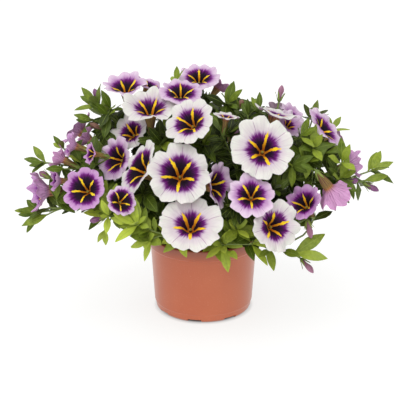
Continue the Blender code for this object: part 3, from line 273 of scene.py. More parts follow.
# Leaves
STEM_NODES, BACK_NODES = (0.45, 0.62, 0.80), (0.50, 0.76)   # places along a stem
STEM_LEAF_LENGTH = 23.0
NODE_LENGTH, NODE_MARGIN = 1.7, 0.7     # stretch of stem for a pair of leaves, free of other points
TUFT_PART = 0.8         # most of the last piece of a shoot that its pairs of leaves may take
LEAF_THICK = 0.9
LEAF_WIDTH, LEAF_FOLD, LEAF_DROOP = 0.41, 0.26, 0.16   # parts of its length or width
SHORT_LEAF = 24.5       # a leaf under this length has a plainer outline in the clearance test
LEAF_STATIONS = ((0.0, 0.15), (0.40, 0.80), (0.74, 0.88))   # along the blade, part of its width
SHORT_STATIONS = ((0.0, 0.16), (0.54, 1.0))
LEAF_SPINS, END_SPINS = (0, 24, -24, 42, -42), range(0, 360, 60)    # turns that are tried
LEAF_SIZES = (1.0, 0.84, 0.7)
STEM_TILTS, SHOOT_TILTS, END_TILTS = (46, 60, 34), (46, 62, 30), (6, 18, 30)
END_LEAF = 0.9          # the leaf at the end of a shoot against those beside it
LEAF_FREE = 0.2         # part of a leaf near its root that may touch its own spray
LEAF_TURN = 0.8         # how much a leaf's face turns to the front, or to the back behind FAR_SIDE
FAR_SIDE = 25.0
FACE_ALONG, FACE_RADIAL = 0.4, -0.3     # and how much along its stem and away from it
SIGHT_DEPTH, SIGHT_WIDTH = 28.0, 0.75   # space before a bloom with no leaf in it: mm, radii
SIGHT_LEAF = 0.6        # the place along a leaf, with its tip, that is kept out of that space
VIEWER = Vector((0, -0.8, 0.3))
CLEARANCE, LEAF_CLEARANCE = 0.4, 0.24       # kept from one stem or one leaf to the next node
POT_KEEP_OFF, POT_KEEP_UNDER = 53.0, 66.0   # no leaf inside this radius is under this height
BLADE_ROWS = ((0.0, 0.15), (0.07, 0.20), (0.18, 0.50), (0.32, 0.84), (0.46, 1.0), (0.60, 0.98),
              (0.74, 0.78), (0.86, 0.47), (0.95, 0.20))
BLADE_COLUMNS = ((1.0, 0), (0.5, -1), (0.0, -1), (-0.5, -1), (-1.0, 0), (-0.5, 1), (0.0, 1), (0.5, 1))
BLADE_SHEET = 0.4
BLADE_SPREAD = 0.86     # width of a leaf here, compared with the plain solid that stands for it
BLADE_WAVE, BLADE_TWIST = (0.02, 0.07), (-0.35, 0.35)
# How much fresher one leaf, stem, calyx or inner leaf is than the next
LEAF_TINTS, STEM_TINTS, CUP_TINTS, FILL_TINTS = (-0.16, 0.20), (-0.1, 0.1), (-0.05, 0.2), (-0.15, 0.1)
# Painted shade: a leaf's tint is lowered deep inside the plant, most at its middle
SHADED = 0.55           # how much darker a leaf is in the middle of the plant than at its outside
PLANT_MIDDLE, PLANT_REACH = Vector((0, 0, 105)), Vector((165, 118, 112))

# Small inner leaves, which only this dressed form has
FILL_ROUNDS, FILL_STEM = 50, 4      # tries on each branch, and more in each round on the stem
FILL_LENGTH, FILL_TILT = (12.0, 24.0), (35, 85)
FILL_ROOT = 0.6         # of the stem's radius: how far from its middle the leaf starts
# Inner leaves take this part of their spray's tint, darker than the outer leaves as painted shade
# inside the plant
FILL_SHADE_FACTOR = 0.7        # against the outer leaves
FILL_DEPTH = 0.11       # how deep inside the plant its tip stays
FILL_LOW, FILL_RISE, FILL_SIDE = 60.0, 26.0, (55, 90)   # how high its tip is seen, more at the sides

# Camera and surroundings, in metres
CAMERA_AIM = Vector((-0.0032, 0.0, 0.1025))
CAMERA_DISTANCE, CAMERA_ELEVATION = 1.0, 19.0
SEEN_UP = Vector((0, math.sin(math.radians(CAMERA_ELEVATION)),
                  math.cos(math.radians(CAMERA_ELEVATION))))
FOCAL_PIXELS, IMAGE_PIXELS, SENSOR = 1100.0, 400.0, 36.0
FLOOR_SIZE = 40.0
FLOOR_BASE, FLOOR_LIGHT = (0.20, 0.20, 0.20, 1), (1.0, 1.0, 0.99, 1)
# Glow of the floor: even and white far out, and dimming under and round the pot's foot as a painted
# shadow
FLOOR_GLOW_PAINTED_SHADOW = ((0.0405, 0.02), (0.0442, 0.80), (0.08, 0.83), (0.25, 0.87))   # from the pot's axis out
SKY = (0.0, 1.0, 0.28, 0.72)    # from the horizon to overhead, and how bright each of them is


def heading(azimuth, elevation):
    """Unit vector for an azimuth and elevation in degrees."""
    a, e = math.radians(azimuth), math.radians(elevation)
    return Vector((math.cos(e) * math.cos(a), math.cos(e) * math.sin(a), math.sin(e)))


def across(direction, hint=UP):
    """Unit vector at right angles to direction, as near to hint as it can be."""
    part = hint - direction * hint.dot(direction)
    if part.length < 0.05:
        part = Vector((1, 0, 0)) - direction * direction.x
    return part.normalized()


def circle(centre, axis, lift, radius, count, start=0.0):
    """Points round an axis, from the side of lift on."""
    side = axis.cross(lift)
    turns = [start + math.tau * k / count for k in range(count)]
    return [centre + (lift * math.cos(a) + side * math.sin(a)) * radius for a in turns]


def eased(low, high, x):
    """Smooth step from 0 at low to 1 at high."""
    t = min(1.0, max(0.0, (x - low) / (high - low)))
    return t * t * (3 - 2 * t)


def through(points, x):
    """Value at x of a smooth curve through points of rising x, and its slope there."""
    k = 0
    while k < len(points) - 2 and x > points[k + 1][0]:
        k += 1

    def slope(i):
        a, b = points[max(i - 1, 0)], points[min(i + 1, len(points) - 1)]
        return (b[1] - a[1]) / (b[0] - a[0])

    (x0, y0), (x1, y1) = points[k], points[k + 1]
    h = x1 - x0
    t = (x - x0) / h
    m0, m1 = slope(k) * h, slope(k + 1) * h
    value = ((2 * t - 3) * t * t + 1) * y0 + ((t - 2) * t + 1) * t * m0 \
        + (3 - 2 * t) * t * t * y1 + (t - 1) * t * t * m1
    rate = ((6 * t - 6) * t * y0 + ((3 * t - 4) * t + 1) * m0 + (6 - 6 * t) * t * y1
            + (3 * t - 2) * t * m1) / h
    return value, rate


def curve(start, start_dir, end, end_dir, steps):
    """Points of a cubic curve between two points with the given end directions."""
    a, b, c, d = start, start + start_dir, end - end_dir, end
    points = []
    for k in range(steps + 1):
        t = k / steps
        s = 1 - t
        points.append(a * s ** 3 + b * (3 * s * s * t) + c * (3 * s * t * t) + d * t ** 3)
    return points


def eased_path(path, parts=3):
    """Path with points added on a smooth curve through it."""
    points = []
    for k in range(len(path) - 1):
        before, start = path[max(k - 1, 0)], path[k]
        end, after = path[k + 1], path[min(k + 2, len(path) - 1)]
        points += curve(start, (end - before) / 6, end, (after - start) / 6, parts)[:-1]
    return points + [path[-1]]


def rings_along(path, first, last, sides):
    """Rings of points round a path, tapering from one radius to the other."""
    rings = []
    lift = across((path[1] - path[0]).normalized(), Vector((0.3, 0.9, 0.1)))
    for k, point in enumerate(path):
        ahead = (path[min(k + 1, len(path) - 1)] - path[max(k - 1, 0)]).normalized()
        lift = across(ahead, lift)
        radius = first + (last - first) * k / (len(path) - 1)
        rings.append(circle(point, ahead, lift, radius, sides))
    return rings


def loft(rings):
    """Closed body through rings of points; the first or last ring may be one point."""
    verts = [point for ring in rings for point in ring]
    faces, starts = [], [0]
    for a, b in zip(rings, rings[1:]):
        low, high = starts[-1], starts[-1] + len(a)
        for k in range(max(len(a), len(b))):
            after, over, over_after = low + (k + 1) % len(a), high + k % len(b), high + (k + 1) % len(b)
            if len(a) > 1:
                faces.append((low + k, after, over))
            if len(b) > 1:
                faces.append((after, over_after, over))
        starts.append(high)
    for start, ring in ((0, rings[0]), (starts[-1], rings[-1])):
        faces += [(start, start + k, start + k + 1) for k in range(1, len(ring) - 1)]
    return verts, faces


def tube(path, first, last, grow=0.0):
    """Stem as a closed body, for the clearance test."""
    return loft(rings_along(path, first + grow, last + grow, TEST_SIDES))


def calyx(foot, out, grow=0.0):
    """Cup of five sepals as a closed body, for the clearance test."""
    lift = across(out)
    verts = [*circle(foot - out * grow, out, lift, CALYX_FOOT + grow, LOBES),
             *circle(foot + out * CALYX_VALLEY_Z, out, lift, CALYX_VALLEY + grow, LOBES,
                     math.pi / LOBES),
             *circle(foot + out * (CALYX_TIP_Z + grow), out, lift, CALYX_TIP + grow, LOBES),
             foot + out * CALYX_FLOOR]
    faces = [(0, k, k + 1) for k in range(1, LOBES - 1)]
    for k in range(LOBES):
        after, left, right, tip = (k + 1) % LOBES, LOBES + (k - 1) % LOBES, LOBES + k, 2 * LOBES + k
        faces += [(k, after, right), (k, right, tip), (k, tip, left), (left, tip, right),
                  (left, right, len(verts) - 1)]
    return verts, faces


def bud(foot, out, length):
    """Closed spindle bud as a body, for the clearance test."""
    waist = circle(foot + out * (length * BUD_WAIST), out, across(out), BUD_RADIUS, LOBES,
                   math.pi / LOBES)
    return loft([[foot], waist, [foot + out * length]])


def leaf(blade, grow=0.0, first=0.0, foot=None):
    """Folded, keeled blade as a closed body, for the clearance test."""
    root, direction, top, length, width = blade
    side = direction.cross(top)
    rings = []
    for along, part in (SHORT_STATIONS if length < SHORT_LEAF else LEAF_STATIONS):
        along = max(along, first)
        middle = root + direction * (length * along) - top * (LEAF_DROOP * length * along ** 2)
        half = width * part / 2 + grow
        rise = top * (LEAF_FOLD * width * part / 2)
        thick = LEAF_THICK / 2 + grow
        rings.append([middle + side * half + rise, middle - top * thick,
                      middle - side * half + rise, middle + top * thick])
    if foot:
        turn = best_turn(foot, rings[1])
        rings[0] = foot[turn:] + foot[:turn]
    return loft([*rings, [root + direction * (length + grow) - top * (LEAF_DROOP * length)]])


def best_turn(quad, ring):
    """How far to turn a quad of points for its corners to face those of a ring."""
    middle = sum(quad, Vector()) / 4
    centre = sum(ring, Vector()) / 4

    def likeness(turn):
        return sum((quad[(i + turn) % 4] - middle).normalized().dot((ring[i] - centre).normalized())
                   for i in range(4))

    return max(range(4), key=likeness)


def posed(along, lift, turn, tilt, y, away):
    """Direction of a leaf from a turn about its stem and a tilt off it, its top and its radial."""
    radial = lift * math.cos(turn) + along.cross(lift) * math.sin(turn)
    direction = along * math.cos(tilt) + radial * math.sin(tilt)
    light = UP + Vector((0, -LEAF_TURN if y < FAR_SIDE else LEAF_TURN, 0))
    return direction, across(direction, light + along * FACE_ALONG + radial * away), radial


def by_the_pot(verts):
    """Whether a leaf would stand in the pot or against it."""
    return any(v.z < POT_KEEP_UNDER and v.xy.length < POT_KEEP_OFF for v in verts)


def depth_inside(spot):
    """1 in the middle of the plant and 0 at its outside."""
    away = spot - PLANT_MIDDLE
    return max(0.0, 1 - Vector([a / r for a, r in zip(away, PLANT_REACH)]).length)


class Branch:
    """Tapering stem; a leaf may grow out of any side face or the end."""

    def __init__(self, path, first, last, sides=BRANCH_SIDES):
        self.path, self.first, self.last, self.sides = path, first, last, sides
        self.rings = rings_along(path, first, last, sides)
        self.blades = {}        # (segment, side) or "end": root, direction, top, length, width
        self.cup = None         # foot and direction of a calyx on its end
        self.bud = None         # length and look of a closed bud in that calyx

    def corners(self, key):
        """Corners of a side face or of the end."""
        if key == "end":
            return self.rings[-1]
        segment, side = key
        after = (side + 1) % self.sides
        return [self.rings[segment][side], self.rings[segment][after],
                self.rings[segment + 1][after], self.rings[segment + 1][side]]

    def face(self, key):
        """Middle of a face and the directions out of it and along the stem."""
        corners = self.corners(key)
        middle = sum(corners, Vector()) / len(corners)
        if key == "end":
            along = (self.path[-1] - self.path[-2]).normalized()
            return middle, along, along
        along = (self.path[key[0] + 1] - self.path[key[0]]).normalized()
        spine = (self.path[key[0]] + self.path[key[0] + 1]) / 2
        return middle, (middle - spine).normalized(), along


def extent(verts):
    """Low and high corner of a group of points."""
    return ([min(v[i] for v in verts) for i in range(3)],
            [max(v[i] for v in verts) for i in range(3)])


class Thicket:
    """Everything placed so far, with a test for whether a new piece would cross it."""

    def __init__(self):
        self.pieces = []

    def add(self, owner, mesh):
        self.pieces.append((owner, BVHTree.FromPolygons(*mesh), *extent(mesh[0])))

    def blocked(self, mesh, skip=()):
        low, high = extent(mesh[0])
        tree = None
        for owner, other, lower, upper in self.pieces:
            if owner in skip:
                continue
            if all(low[i] <= upper[i] and lower[i] <= high[i] for i in range(3)):
                tree = tree or BVHTree.FromPolygons(*mesh)
                if tree.overlap(other):
                    return True
        return False


def stem_path(azimuth, radius, x, y, z, tip_azimuth, tip_elevation, bow):
    """Points of a spray's main stem, from its hole in the peat to its tip."""
    outward = heading(azimuth, 0) * radius
    collar = outward + UP * COLLAR
    tip = Vector((x, y, z))
    pull = heading(tip_azimuth, tip_elevation) * ((tip - collar).length * TIP_PULL)
    return [outward + UP * STEM_FOOT] + curve(collar, UP * bow, tip, pull, STEM_STEPS)


def with_nodes(path, places):
    """Path with a short segment of its own at each place, given as part of its length."""
    lengths = [0.0]
    for a, b in zip(path, path[1:]):
        lengths.append(lengths[-1] + (b - a).length)

    def at(distance):
        k = 0
        while k < len(path) - 2 and distance > lengths[k + 1]:
            k += 1
        part = (distance - lengths[k]) / (lengths[k + 1] - lengths[k])
        return path[k] + (path[k + 1] - path[k]) * part

    middles = [place * lengths[-1] for place in places]
    cuts = [(middle - NODE_LENGTH / 2, middle + NODE_LENGTH / 2) for middle in middles]
    stops = [d for d in lengths
             if all(d < a - NODE_MARGIN or d > b + NODE_MARGIN for a, b in cuts)]
    stops = sorted(stops + [d for pair in cuts for d in pair])
    return [at(d) for d in stops], [stops.index(a) for a, _ in cuts]


def sight(x, y, z, radius, azimuth, elevation, *_):
    """Middle of a bloom, the way it is looked into, and the radius to keep free of leaves."""
    out = heading(azimuth, elevation)
    if y < FAR_SIDE:
        out = (out + VIEWER).normalized()
    return Vector((x, y, z)), out, radius * SIGHT_WIDTH


class Plan:
    """Where every stem, twig, calyx, bud and leaf stands."""

    def __init__(self):
        self.branches = {name: [] for name in SPRAYS}
        self.fillers = {name: [] for name in SPRAYS}
        self.thicket = Thicket()
        for name, node in frame["nodes"].items():
            if not name.startswith("spray"):
                self.thicket.add(name, ([v.co / MM for v in node.data.vertices],
                                        [tuple(face.vertices) for face in node.data.polygons]))
        self.sights = [sight(*spec) for spec in BLOOMS.values()]
        dressed = [self.start_stem(name, spec[0]) for name, spec in SPRAYS.items()]
        for name, spec in SPRAYS.items():
            for flower in spec[2]:
                x, y, z, radius, azimuth, elevation, *_ = BLOOMS[flower]
                out = heading(azimuth, elevation)
                drop = max(TUBE_LENGTH * radius, TUBE_LEAST) + CALYX_GAP + CALYX_FLOOR
                self.hang(name, Vector((x, y, z)) - out * drop, out)
        for name, spec in SPRAYS.items():
            for x, y, z, azimuth, elevation, length, look in spec[4]:
                foot, out = Vector((x, y, z)), heading(azimuth, elevation)
                self.hang(name, foot, out, (length, look))
                self.thicket.add(name, bud(foot + out * CALYX_FLOOR, out, length))
        shoots = [self.start_shoot(name, *shoot) for name, spec in SPRAYS.items()
                  for shoot in spec[3]]
        for shoot in shoots + dressed:
            self.dress(*shoot)
        self.fill()

    def keep(self, name, branch):
        """Add a branch to a spray."""
        self.branches[name].append(branch)
        self.thicket.add(name, tube(branch.path, branch.first, branch.last))
        return branch

    def start_stem(self, name, spec):
        """Main stem of a spray with the places where leaves may grow."""
        path, nodes = with_nodes(stem_path(*spec),
                                 BACK_NODES if name.startswith("back") else STEM_NODES)
        branch = self.keep(name, Branch(path, STEM_RADIUS, STEM_TIP_RADIUS))
        return name, branch, nodes, 2 * len(nodes) + 1, STEM_LEAF_LENGTH, STEM_TILTS

    def reach(self, name, target, out, last):
        """Clear path for a twig from the spray's stem to a target."""
        stem = self.branches[name][0].path
        places = [((a + b) / 2, (b - a).normalized()) for a, b in zip(stem[2:], stem[3:])
                  if (b - a).length > 2 * NODE_LENGTH]
        places.sort(key=lambda place: (target - place[0]).length
                    - TWIG_LEAN * (target - place[0]).dot(place[1]))
        for start, along in places:
            gap = (target - start).length
            lead = (along + (target - start).normalized()).normalized()
            for pull, push in TWIG_BENDS:
                path = curve(start, lead * gap * pull, target, out * gap * push, TWIG_STEPS)
                if not self.thicket.blocked(tube(path, TWIG_RADIUS, last, CLEARANCE), (name,)):
                    return path

    def hang(self, name, foot, out, closed=None):
        """Set a calyx, with a closed bud or not, and the stalk that carries it."""
        path = self.reach(name, foot - out * STALK_END, out, TWIG_RADIUS)
        branch = self.keep(name, Branch(path, TWIG_RADIUS, TWIG_RADIUS, STALK_SIDES))
        branch.cup, branch.bud = (foot, out), closed
        self.thicket.add(name, calyx(foot, out))

    def start_shoot(self, name, x, y, z, azimuth, elevation, count, length):
        """Twig that ends in a tuft of leaves."""
        last = TWIG_RADIUS * TWIG_TAPER
        path = self.reach(name, Vector((x, y, z)), heading(azimuth, elevation), last)
        end = path[-1] - path[-2]
        nodes = count // 2
        base = path[-1] - end.normalized() * min(NODE_LENGTH * nodes, end.length * TUFT_PART)
        tuft = [base + (path[-1] - base) * k / nodes for k in range(1, nodes + 1)]
        start = len(path) - 1
        path = path[:-1] + ([base] + tuft if nodes else [path[-1]])
        branch = self.keep(name, Branch(path, TWIG_RADIUS, last))
        return name, branch, [start + k for k in range(nodes)], count, length, SHOOT_TILTS

    def hides_bloom(self, root, reach):
        """Whether a leaf stands close in front of an open bloom."""
        for centre, out, radius in self.sights:
            for away in (root + reach * SIGHT_LEAF - centre, root + reach - centre):
                ahead = away.dot(out)
                if 0 < ahead < SIGHT_DEPTH and (away - out * ahead).length < radius:
                    return True
        return False

    def dress(self, name, branch, nodes, count, length, tilts):
        """Leaves out of the faces of a branch: its end first, then down it in crossed pairs."""
        grown = int(self.try_leaf(name, branch, "end", length * END_LEAF, END_TILTS))
        for k, segment in enumerate(reversed(nodes)):
            for side in (0, 2, 1, 3) if k % 2 == 0 else (1, 3, 0, 2):
                if grown >= count or sum((segment, s) in branch.blades for s in range(4)) >= 2:
                    break
                grown += int(self.try_leaf(name, branch, (segment, side), length, tilts))

    def try_leaf(self, name, branch, key, length, tilts):
        """Turn, tilt and shorten a leaf until it is clear of everything."""
        root, normal, along = branch.face(key)
        lift = across(along) if key == "end" else normal
        foot, rooted = branch.corners(key), name + " rooted"
        spins = END_SPINS if key == "end" else LEAF_SPINS
        for size, tilt, spin in itertools.product(LEAF_SIZES, tilts, spins):
            direction, top, _ = posed(along, lift, math.radians(spin), math.radians(tilt), root.y,
                                      FACE_RADIAL)
            long = length * size
            if self.hides_bloom(root, direction * long):
                continue
            blade = (root, direction, top, long, long * LEAF_WIDTH)
            outer = leaf(blade, LEAF_CLEARANCE, foot=foot)
            if by_the_pot(outer[0]) or self.thicket.blocked(outer, (name, rooted)):
                continue
            inner = leaf(blade, first=LEAF_FREE)
            if not self.thicket.blocked(inner, (rooted,)):
                branch.blades[key] = blade
                self.thicket.add(name, inner)
                self.thicket.add(rooted, leaf(blade, foot=foot))
                return True
        return False

    def fill(self):
        """Small inner leaves along the stems and stalks, wherever they are clear."""
        rng = random.Random(3)
        for _ in range(FILL_ROUNDS):
            for name, branches in self.branches.items():
                for branch in branches + branches[:1] * FILL_STEM:
                    k = rng.randrange(len(branch.path) - 1)
                    a, b = branch.path[k], branch.path[k + 1]
                    spine = a + (b - a) * rng.random()
                    along = (b - a).normalized()
                    turn, tilt = rng.uniform(0, math.tau), math.radians(rng.uniform(*FILL_TILT))
                    direction, top, radial = posed(along, across(along), turn, tilt, spine.y, 0.0)
                    long = rng.uniform(*FILL_LENGTH)
                    root = spine + radial * (branch.last * FILL_ROOT)
                    tip = root + direction * long
                    low = FILL_LOW + FILL_RISE * eased(*FILL_SIDE, abs(tip.x))
                    if depth_inside(tip) < FILL_DEPTH or tip.dot(SEEN_UP) < low:
                        continue
                    blade = (root, direction, top, long, long * LEAF_WIDTH)
                    body = leaf(blade, CLEARANCE / 2, LEAF_FREE)
                    if self.hides_bloom(root, direction * long) or by_the_pot(body[0]):
                        continue
                    if not self.thicket.blocked(body, (name + " rooted",)):
                        self.fillers[name].append(blade)
                        self.thicket.add(name, leaf(blade, first=LEAF_FREE))


def placed(name, data):
    """Object with its data in the scene."""
    obj = bpy.data.objects.new(name, data)
    bpy.context.scene.collection.objects.link(obj)
    return obj


class Skin:
    """Mesh in the making: points, faces, a UV for each corner, tints and looks."""

    def __init__(self):
        self.verts, self.faces, self.uvs, self.tints, self.looks = [], [], [], [], []

    def grid(self, rows, place, tint=0.0, look=0):
        """Faces through closed rows of points; the first or last row may be one point."""
        starts = []
        for row in rows:
            starts.append(len(self.verts))
            self.verts.extend(row)
        self.tints.extend([tint] * (len(self.verts) - starts[0]))
        count = max(len(row) for row in rows)
        for i, j in itertools.product(range(len(rows) - 1), range(count)):
            a, b = starts[i], starts[i + 1]
            k = (j + 1) % count
            if len(rows[i]) == 1:
                face, spots = (a, b + k, b + j), ((i, j + 0.5), (i + 1, j + 1), (i + 1, j))
            elif len(rows[i + 1]) == 1:
                face, spots = (a + j, a + k, b), ((i, j), (i, j + 1), (i + 1, j + 0.5))
            else:
                face = (a + j, a + k, b + k, b + j)
                spots = ((i, j), (i, j + 1), (i + 1, j + 1), (i + 1, j))
            self.faces.append(face)
            self.uvs += [place(*spot) for spot in spots]
            self.looks.append(look(i, j) if callable(look) else look)

    def piece(self, name, looks, slot, *nodes):
        """Object in metres that rides on the frame in place of its nodes."""
        data = bpy.data.meshes.new(name)
        data.from_pydata([v * MM for v in self.verts], [], self.faces)
        layer = data.uv_layers.new(name="Map")
        layer.data.foreach_set("uv", [c for uv in self.uvs for c in uv])
        tint = data.attributes.new("tint", "FLOAT", "POINT")
        tint.data.foreach_set("value", self.tints)
        data.polygons.foreach_set("material_index", self.looks)
        for look in looks:
            data.materials.append(bpy.data.materials[look])
        data.shade_smooth()
        data.set_sharp_from_angle(angle=math.radians(60))
        obj = placed(name, data)
        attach(obj, "root")
        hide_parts(*nodes)


def bump(distance, height, width):
    """Full height at no distance, falling to nothing over a width."""
    return height * math.exp(-(distance / width) ** 2)


def fine_bloom(index, short, x, y, z, radius, azimuth, elevation, roll, cup, colour):
    """Thin-petalled trumpet with ruffled lobes on the rings of the part's own bloom."""
    name = "bloom_" + short
    rng = random.Random(name)
    lobe_lift = [rng.uniform(*LOBE_LIFT) for _ in range(LOBES)]
    lobe_size = [rng.uniform(*LOBE_SIZE) for _ in range(LOBES)]
    seed = UP * (SEED_STEP * index)
    ruffle = 1 + CUP_RUFFLE * cup
    count = LOBES * PETAL_COLUMNS
    length = max(TUBE_LENGTH, TUBE_LEAST / radius)
    sheet = PETAL_SHEET / radius
    rings = [(flat + pull * cup, height + rise * cup) for flat, height, pull, rise in RINGS]
    floor, (throat, throat_height) = rings[0][1], rings[1]
    widths = [(0.0, 0.0)] + [(flat[0], ring[0]) for flat, ring in zip(RINGS, rings)]
    heights = [(0.0, floor - 0.02)] + [(flat[0], ring[1]) for flat, ring in zip(RINGS, rings)]
    centre = Vector((x, y, z))
    out = heading(azimuth, elevation)
    rise = across(out)
    left = out.cross(rise)
    angle = math.radians(roll)
    star = rise * math.cos(angle) + left * math.sin(angle)
    turned_to = Matrix((star, out.cross(star), out)).transposed()

    def put(point):
        """Point given in radii about the mouth, pinched and put in its place."""
        share = min(1.0, math.hypot(point.x, point.y) / PINCH_FULL)
        spot = turned_to @ point
        spot -= left * (spot.dot(left) * share * (1 - PINCHED.get(short, 1.0)))
        return spot * radius + centre

    def edge(lobe, phi, seam, aside):
        """How far the edge of the bloom stands out in one direction."""
        part = 1 + bump(seam, *SEAM_NOTCH) + bump(0.5 - seam, *RIB_NOTCH)
        part += sum(size * noise.noise(aside * scale + seed) for size, scale in EDGE_NOISE)
        return part * (1 + (lobe_size[lobe] - 1) * math.sin(math.pi * phi))

    def relief(lobe, phi, seam, aside, rho):
        """Height of a petal over the plain trumpet: seams, grooves, ruffles and raised petals."""
        fold = bump(seam, *SEAM_FOLD) + bump(0.5 - seam, *RIB_FOLD)
        height = fold * eased(0.15, 0.40, rho) * (1 - 0.4 * rho)
        outer, edging = eased(0.45, 1.0, rho), eased(0.6, 1.0, rho)
        height += lobe_lift[lobe] * math.sin(math.pi * phi) * outer
        height -= EDGE_WAVE * ruffle * math.cos(2 * math.tau * phi) * edging
        spot = aside * 1.2 + seed
        height += SWELL * ruffle * noise.noise(spot + UP * (0.6 * rho)) * outer
        height += RIPPLE * ruffle * noise.noise(spot * 3.1 + UP * rho) * eased(0.5, 1.0, rho)
        far = (turned_to @ aside).y
        height += FAR_LIFT.get(short, 0.0) * eased(-0.1, 0.9, far) * eased(0.35, 1.0, rho)
        return height - EDGE_DROP * eased(0.6, 1.1, rho)

    def row(rho, depth):
        """Points round the bloom at one radius, at a depth under its face."""
        part, spread = through(widths, rho)
        height, climb = through(heights, rho)
        steep = math.hypot(spread, climb)
        points = []
        for k in range(count):
            lobe, phi = k // PETAL_COLUMNS, k / PETAL_COLUMNS % 1
            aside = heading(360 * k / count, 0)
            ways = (lobe, phi, min(phi, 1 - phi), aside)
            r = part * (1 + (edge(*ways) - 1) * eased(0.35, 1.0, rho)) + depth * climb / steep
            points.append(aside * r + UP * (height + relief(*ways, rho) - depth * spread / steep))
        return points

    tube_profile = [(-length, TUBE_END_RADIUS / radius), (floor - NECK_DROP, NECK_RADIUS),
                    (throat_height - sheet, throat + sheet)]
    rows, values = [[Vector((0, 0, -length))]], [-0.8]
    for part in TUBE_ROWS:
        h = -length + part * (throat_height - sheet + length)
        rows.append(circle(UP * h, UP, Vector((1, 0, 0)), through(tube_profile, h)[0], count))
        values.append(-0.8 + part)
    rows += [row(rho, sheet) for rho in BACK_ROWS]
    back = len(rows)
    rows += [row(1.0, sheet / 2)] + [row(rho, 0.0) for rho in FRONT_ROWS] + [[UP * heights[0][1]]]
    values += [*BACK_ROWS, 1.0, *FRONT_ROWS, 0.0]
    skin = Skin()
    skin.grid([[put(point) for point in points] for points in rows],
              lambda i, j: (LOBES * 4 * index + j / PETAL_COLUMNS, values[i]),
              VIOLET_REACH_AND_SHADE.get(short, VIOLET_REACH_AND_SHADE[colour]), lambda i, j: int(i < back))
    skin.piece(name + "_petals", ("petal_" + colour, "back_" + colour), colour, name)
    pistil(name, radius, turned_to, centre + out * (floor * radius), colour)


def ball(skin, centre, axis, wide, tall, sides, tint, look):
    """Egg-shaped body about an axis."""
    rows = [circle(centre + axis * (t * tall), axis, across(axis), wide * math.sqrt(1 - t * t), sides)
            for t in (-0.6, 0.0, 0.6)]
    skin.grid([[centre - axis * tall], *rows, [centre + axis * tall]],
              lambda i, j: (j / sides, i / 4), tint, look)


def pistil(name, radius, turned_to, base, colour):
    """Green stigma ringed by pale anthers, deep in the throat."""
    skin = Skin()
    out = turned_to @ UP
    rise = out * (PISTIL_RISE * radius)
    ball(skin, base + rise * 0.4, out, 0.3, rise.length * 0.5, 6, 0.0, 0)
    ball(skin, base + rise, out, 0.6, 0.4, 8, 0.0, 0)
    for k in range(LOBES):
        aside = turned_to @ heading(360 * (k + 0.5) / LOBES, 0)
        ball(skin, base + rise * 0.7 + aside * ANTHER_RING, out, 0.35, 0.6, 6, 1.0, 1)
    skin.piece(name + "_pistil", ("stigma", "anther"), colour, name)


def blade(skin, root, direction, top, length, width, rows, sheet, droop, tint, rng, looks=(0, 1)):
    """Thin folded leaf or sepal with a wavy edge and a slight twist."""
    side = direction.cross(top)
    wave, turn, phase = rng.uniform(*BLADE_WAVE), rng.uniform(*BLADE_TWIST), rng.uniform(0, 6)
    made = []
    for along, part in rows:
        middle = root + direction * (length * along) - top * (droop * length * along ** 2)
        angle = turn * along
        wide = side * math.cos(angle) + top * math.sin(angle)
        high = top * math.cos(angle) - side * math.sin(angle)
        half = width * part / 2
        ring = []
        for x, face in BLADE_COLUMNS:
            rise = LEAF_FOLD * half * math.sqrt(x * x + 0.04) - 0.16 * half * x ** 4
            rise += wave * width * abs(x) * math.sin(9 * along + phase + 1.3 * x)
            ring.append(middle + wide * (x * half) + high * (rise + face * sheet / 2))
        made.append(ring)
    made.append([root + direction * length - top * (droop * length)])

    def place(i, j):
        if i == len(rows):
            return 0.5, 1.0
        return 0.5 + BLADE_COLUMNS[int(j) % len(BLADE_COLUMNS)][0] / 2, rows[i][0]

    skin.grid(made, place, tint, lambda i, j: looks[int(j < 4)])


def fine_calyx(skin, foot, out, rng, tint):
    """Cup with five narrow sepals that curve away from the tube."""
    lift = across(out)
    rows = [circle(foot + out * height, out, lift, radius, CUP_SIDES)
            for radius, height in CUP_PROFILE]
    skin.grid([*rows, [foot + out]], lambda i, j: (j / CUP_SIDES, i / len(rows)), tint, 0)
    for radial in circle(Vector(), out, lift, 1, LOBES):
        root = foot + radial * SEPAL_ROOT[0] + out * SEPAL_ROOT[1]
        reach = foot + radial * CALYX_TIP + out * (CALYX_TIP_Z + SEPAL_OVER) - root
        direction = reach.normalized()
        blade(skin, root, direction, across(direction, -radial), reach.length, SEPAL_WIDTH,
              SEPAL_ROWS, SEPAL_SHEET, SEPAL_DROOP, tint, rng, (1, 2))


def fine_bud(skin, foot, out, length, look):
    """Pleated, twisted bud standing in its calyx."""
    rows = [[foot]]
    for along, part in BUD_ROWS:
        middle = foot + out * (length * along)
        ring = circle(middle, out, across(out), BUD_RADIUS * part, BUD_SIDES, BUD_TWIST * along)
        depth = BUD_PLEAT * eased(0.2, 0.6, along)
        pleats = [1 + depth * math.cos(LOBES * math.tau * k / BUD_SIDES) for k in range(BUD_SIDES)]
        rows.append([middle + (point - middle) * pleat for point, pleat in zip(ring, pleats)])
    rows.append([foot + out * length])
    skin.grid(rows, lambda i, j: (j / 3, i / 8), 0.0, look)


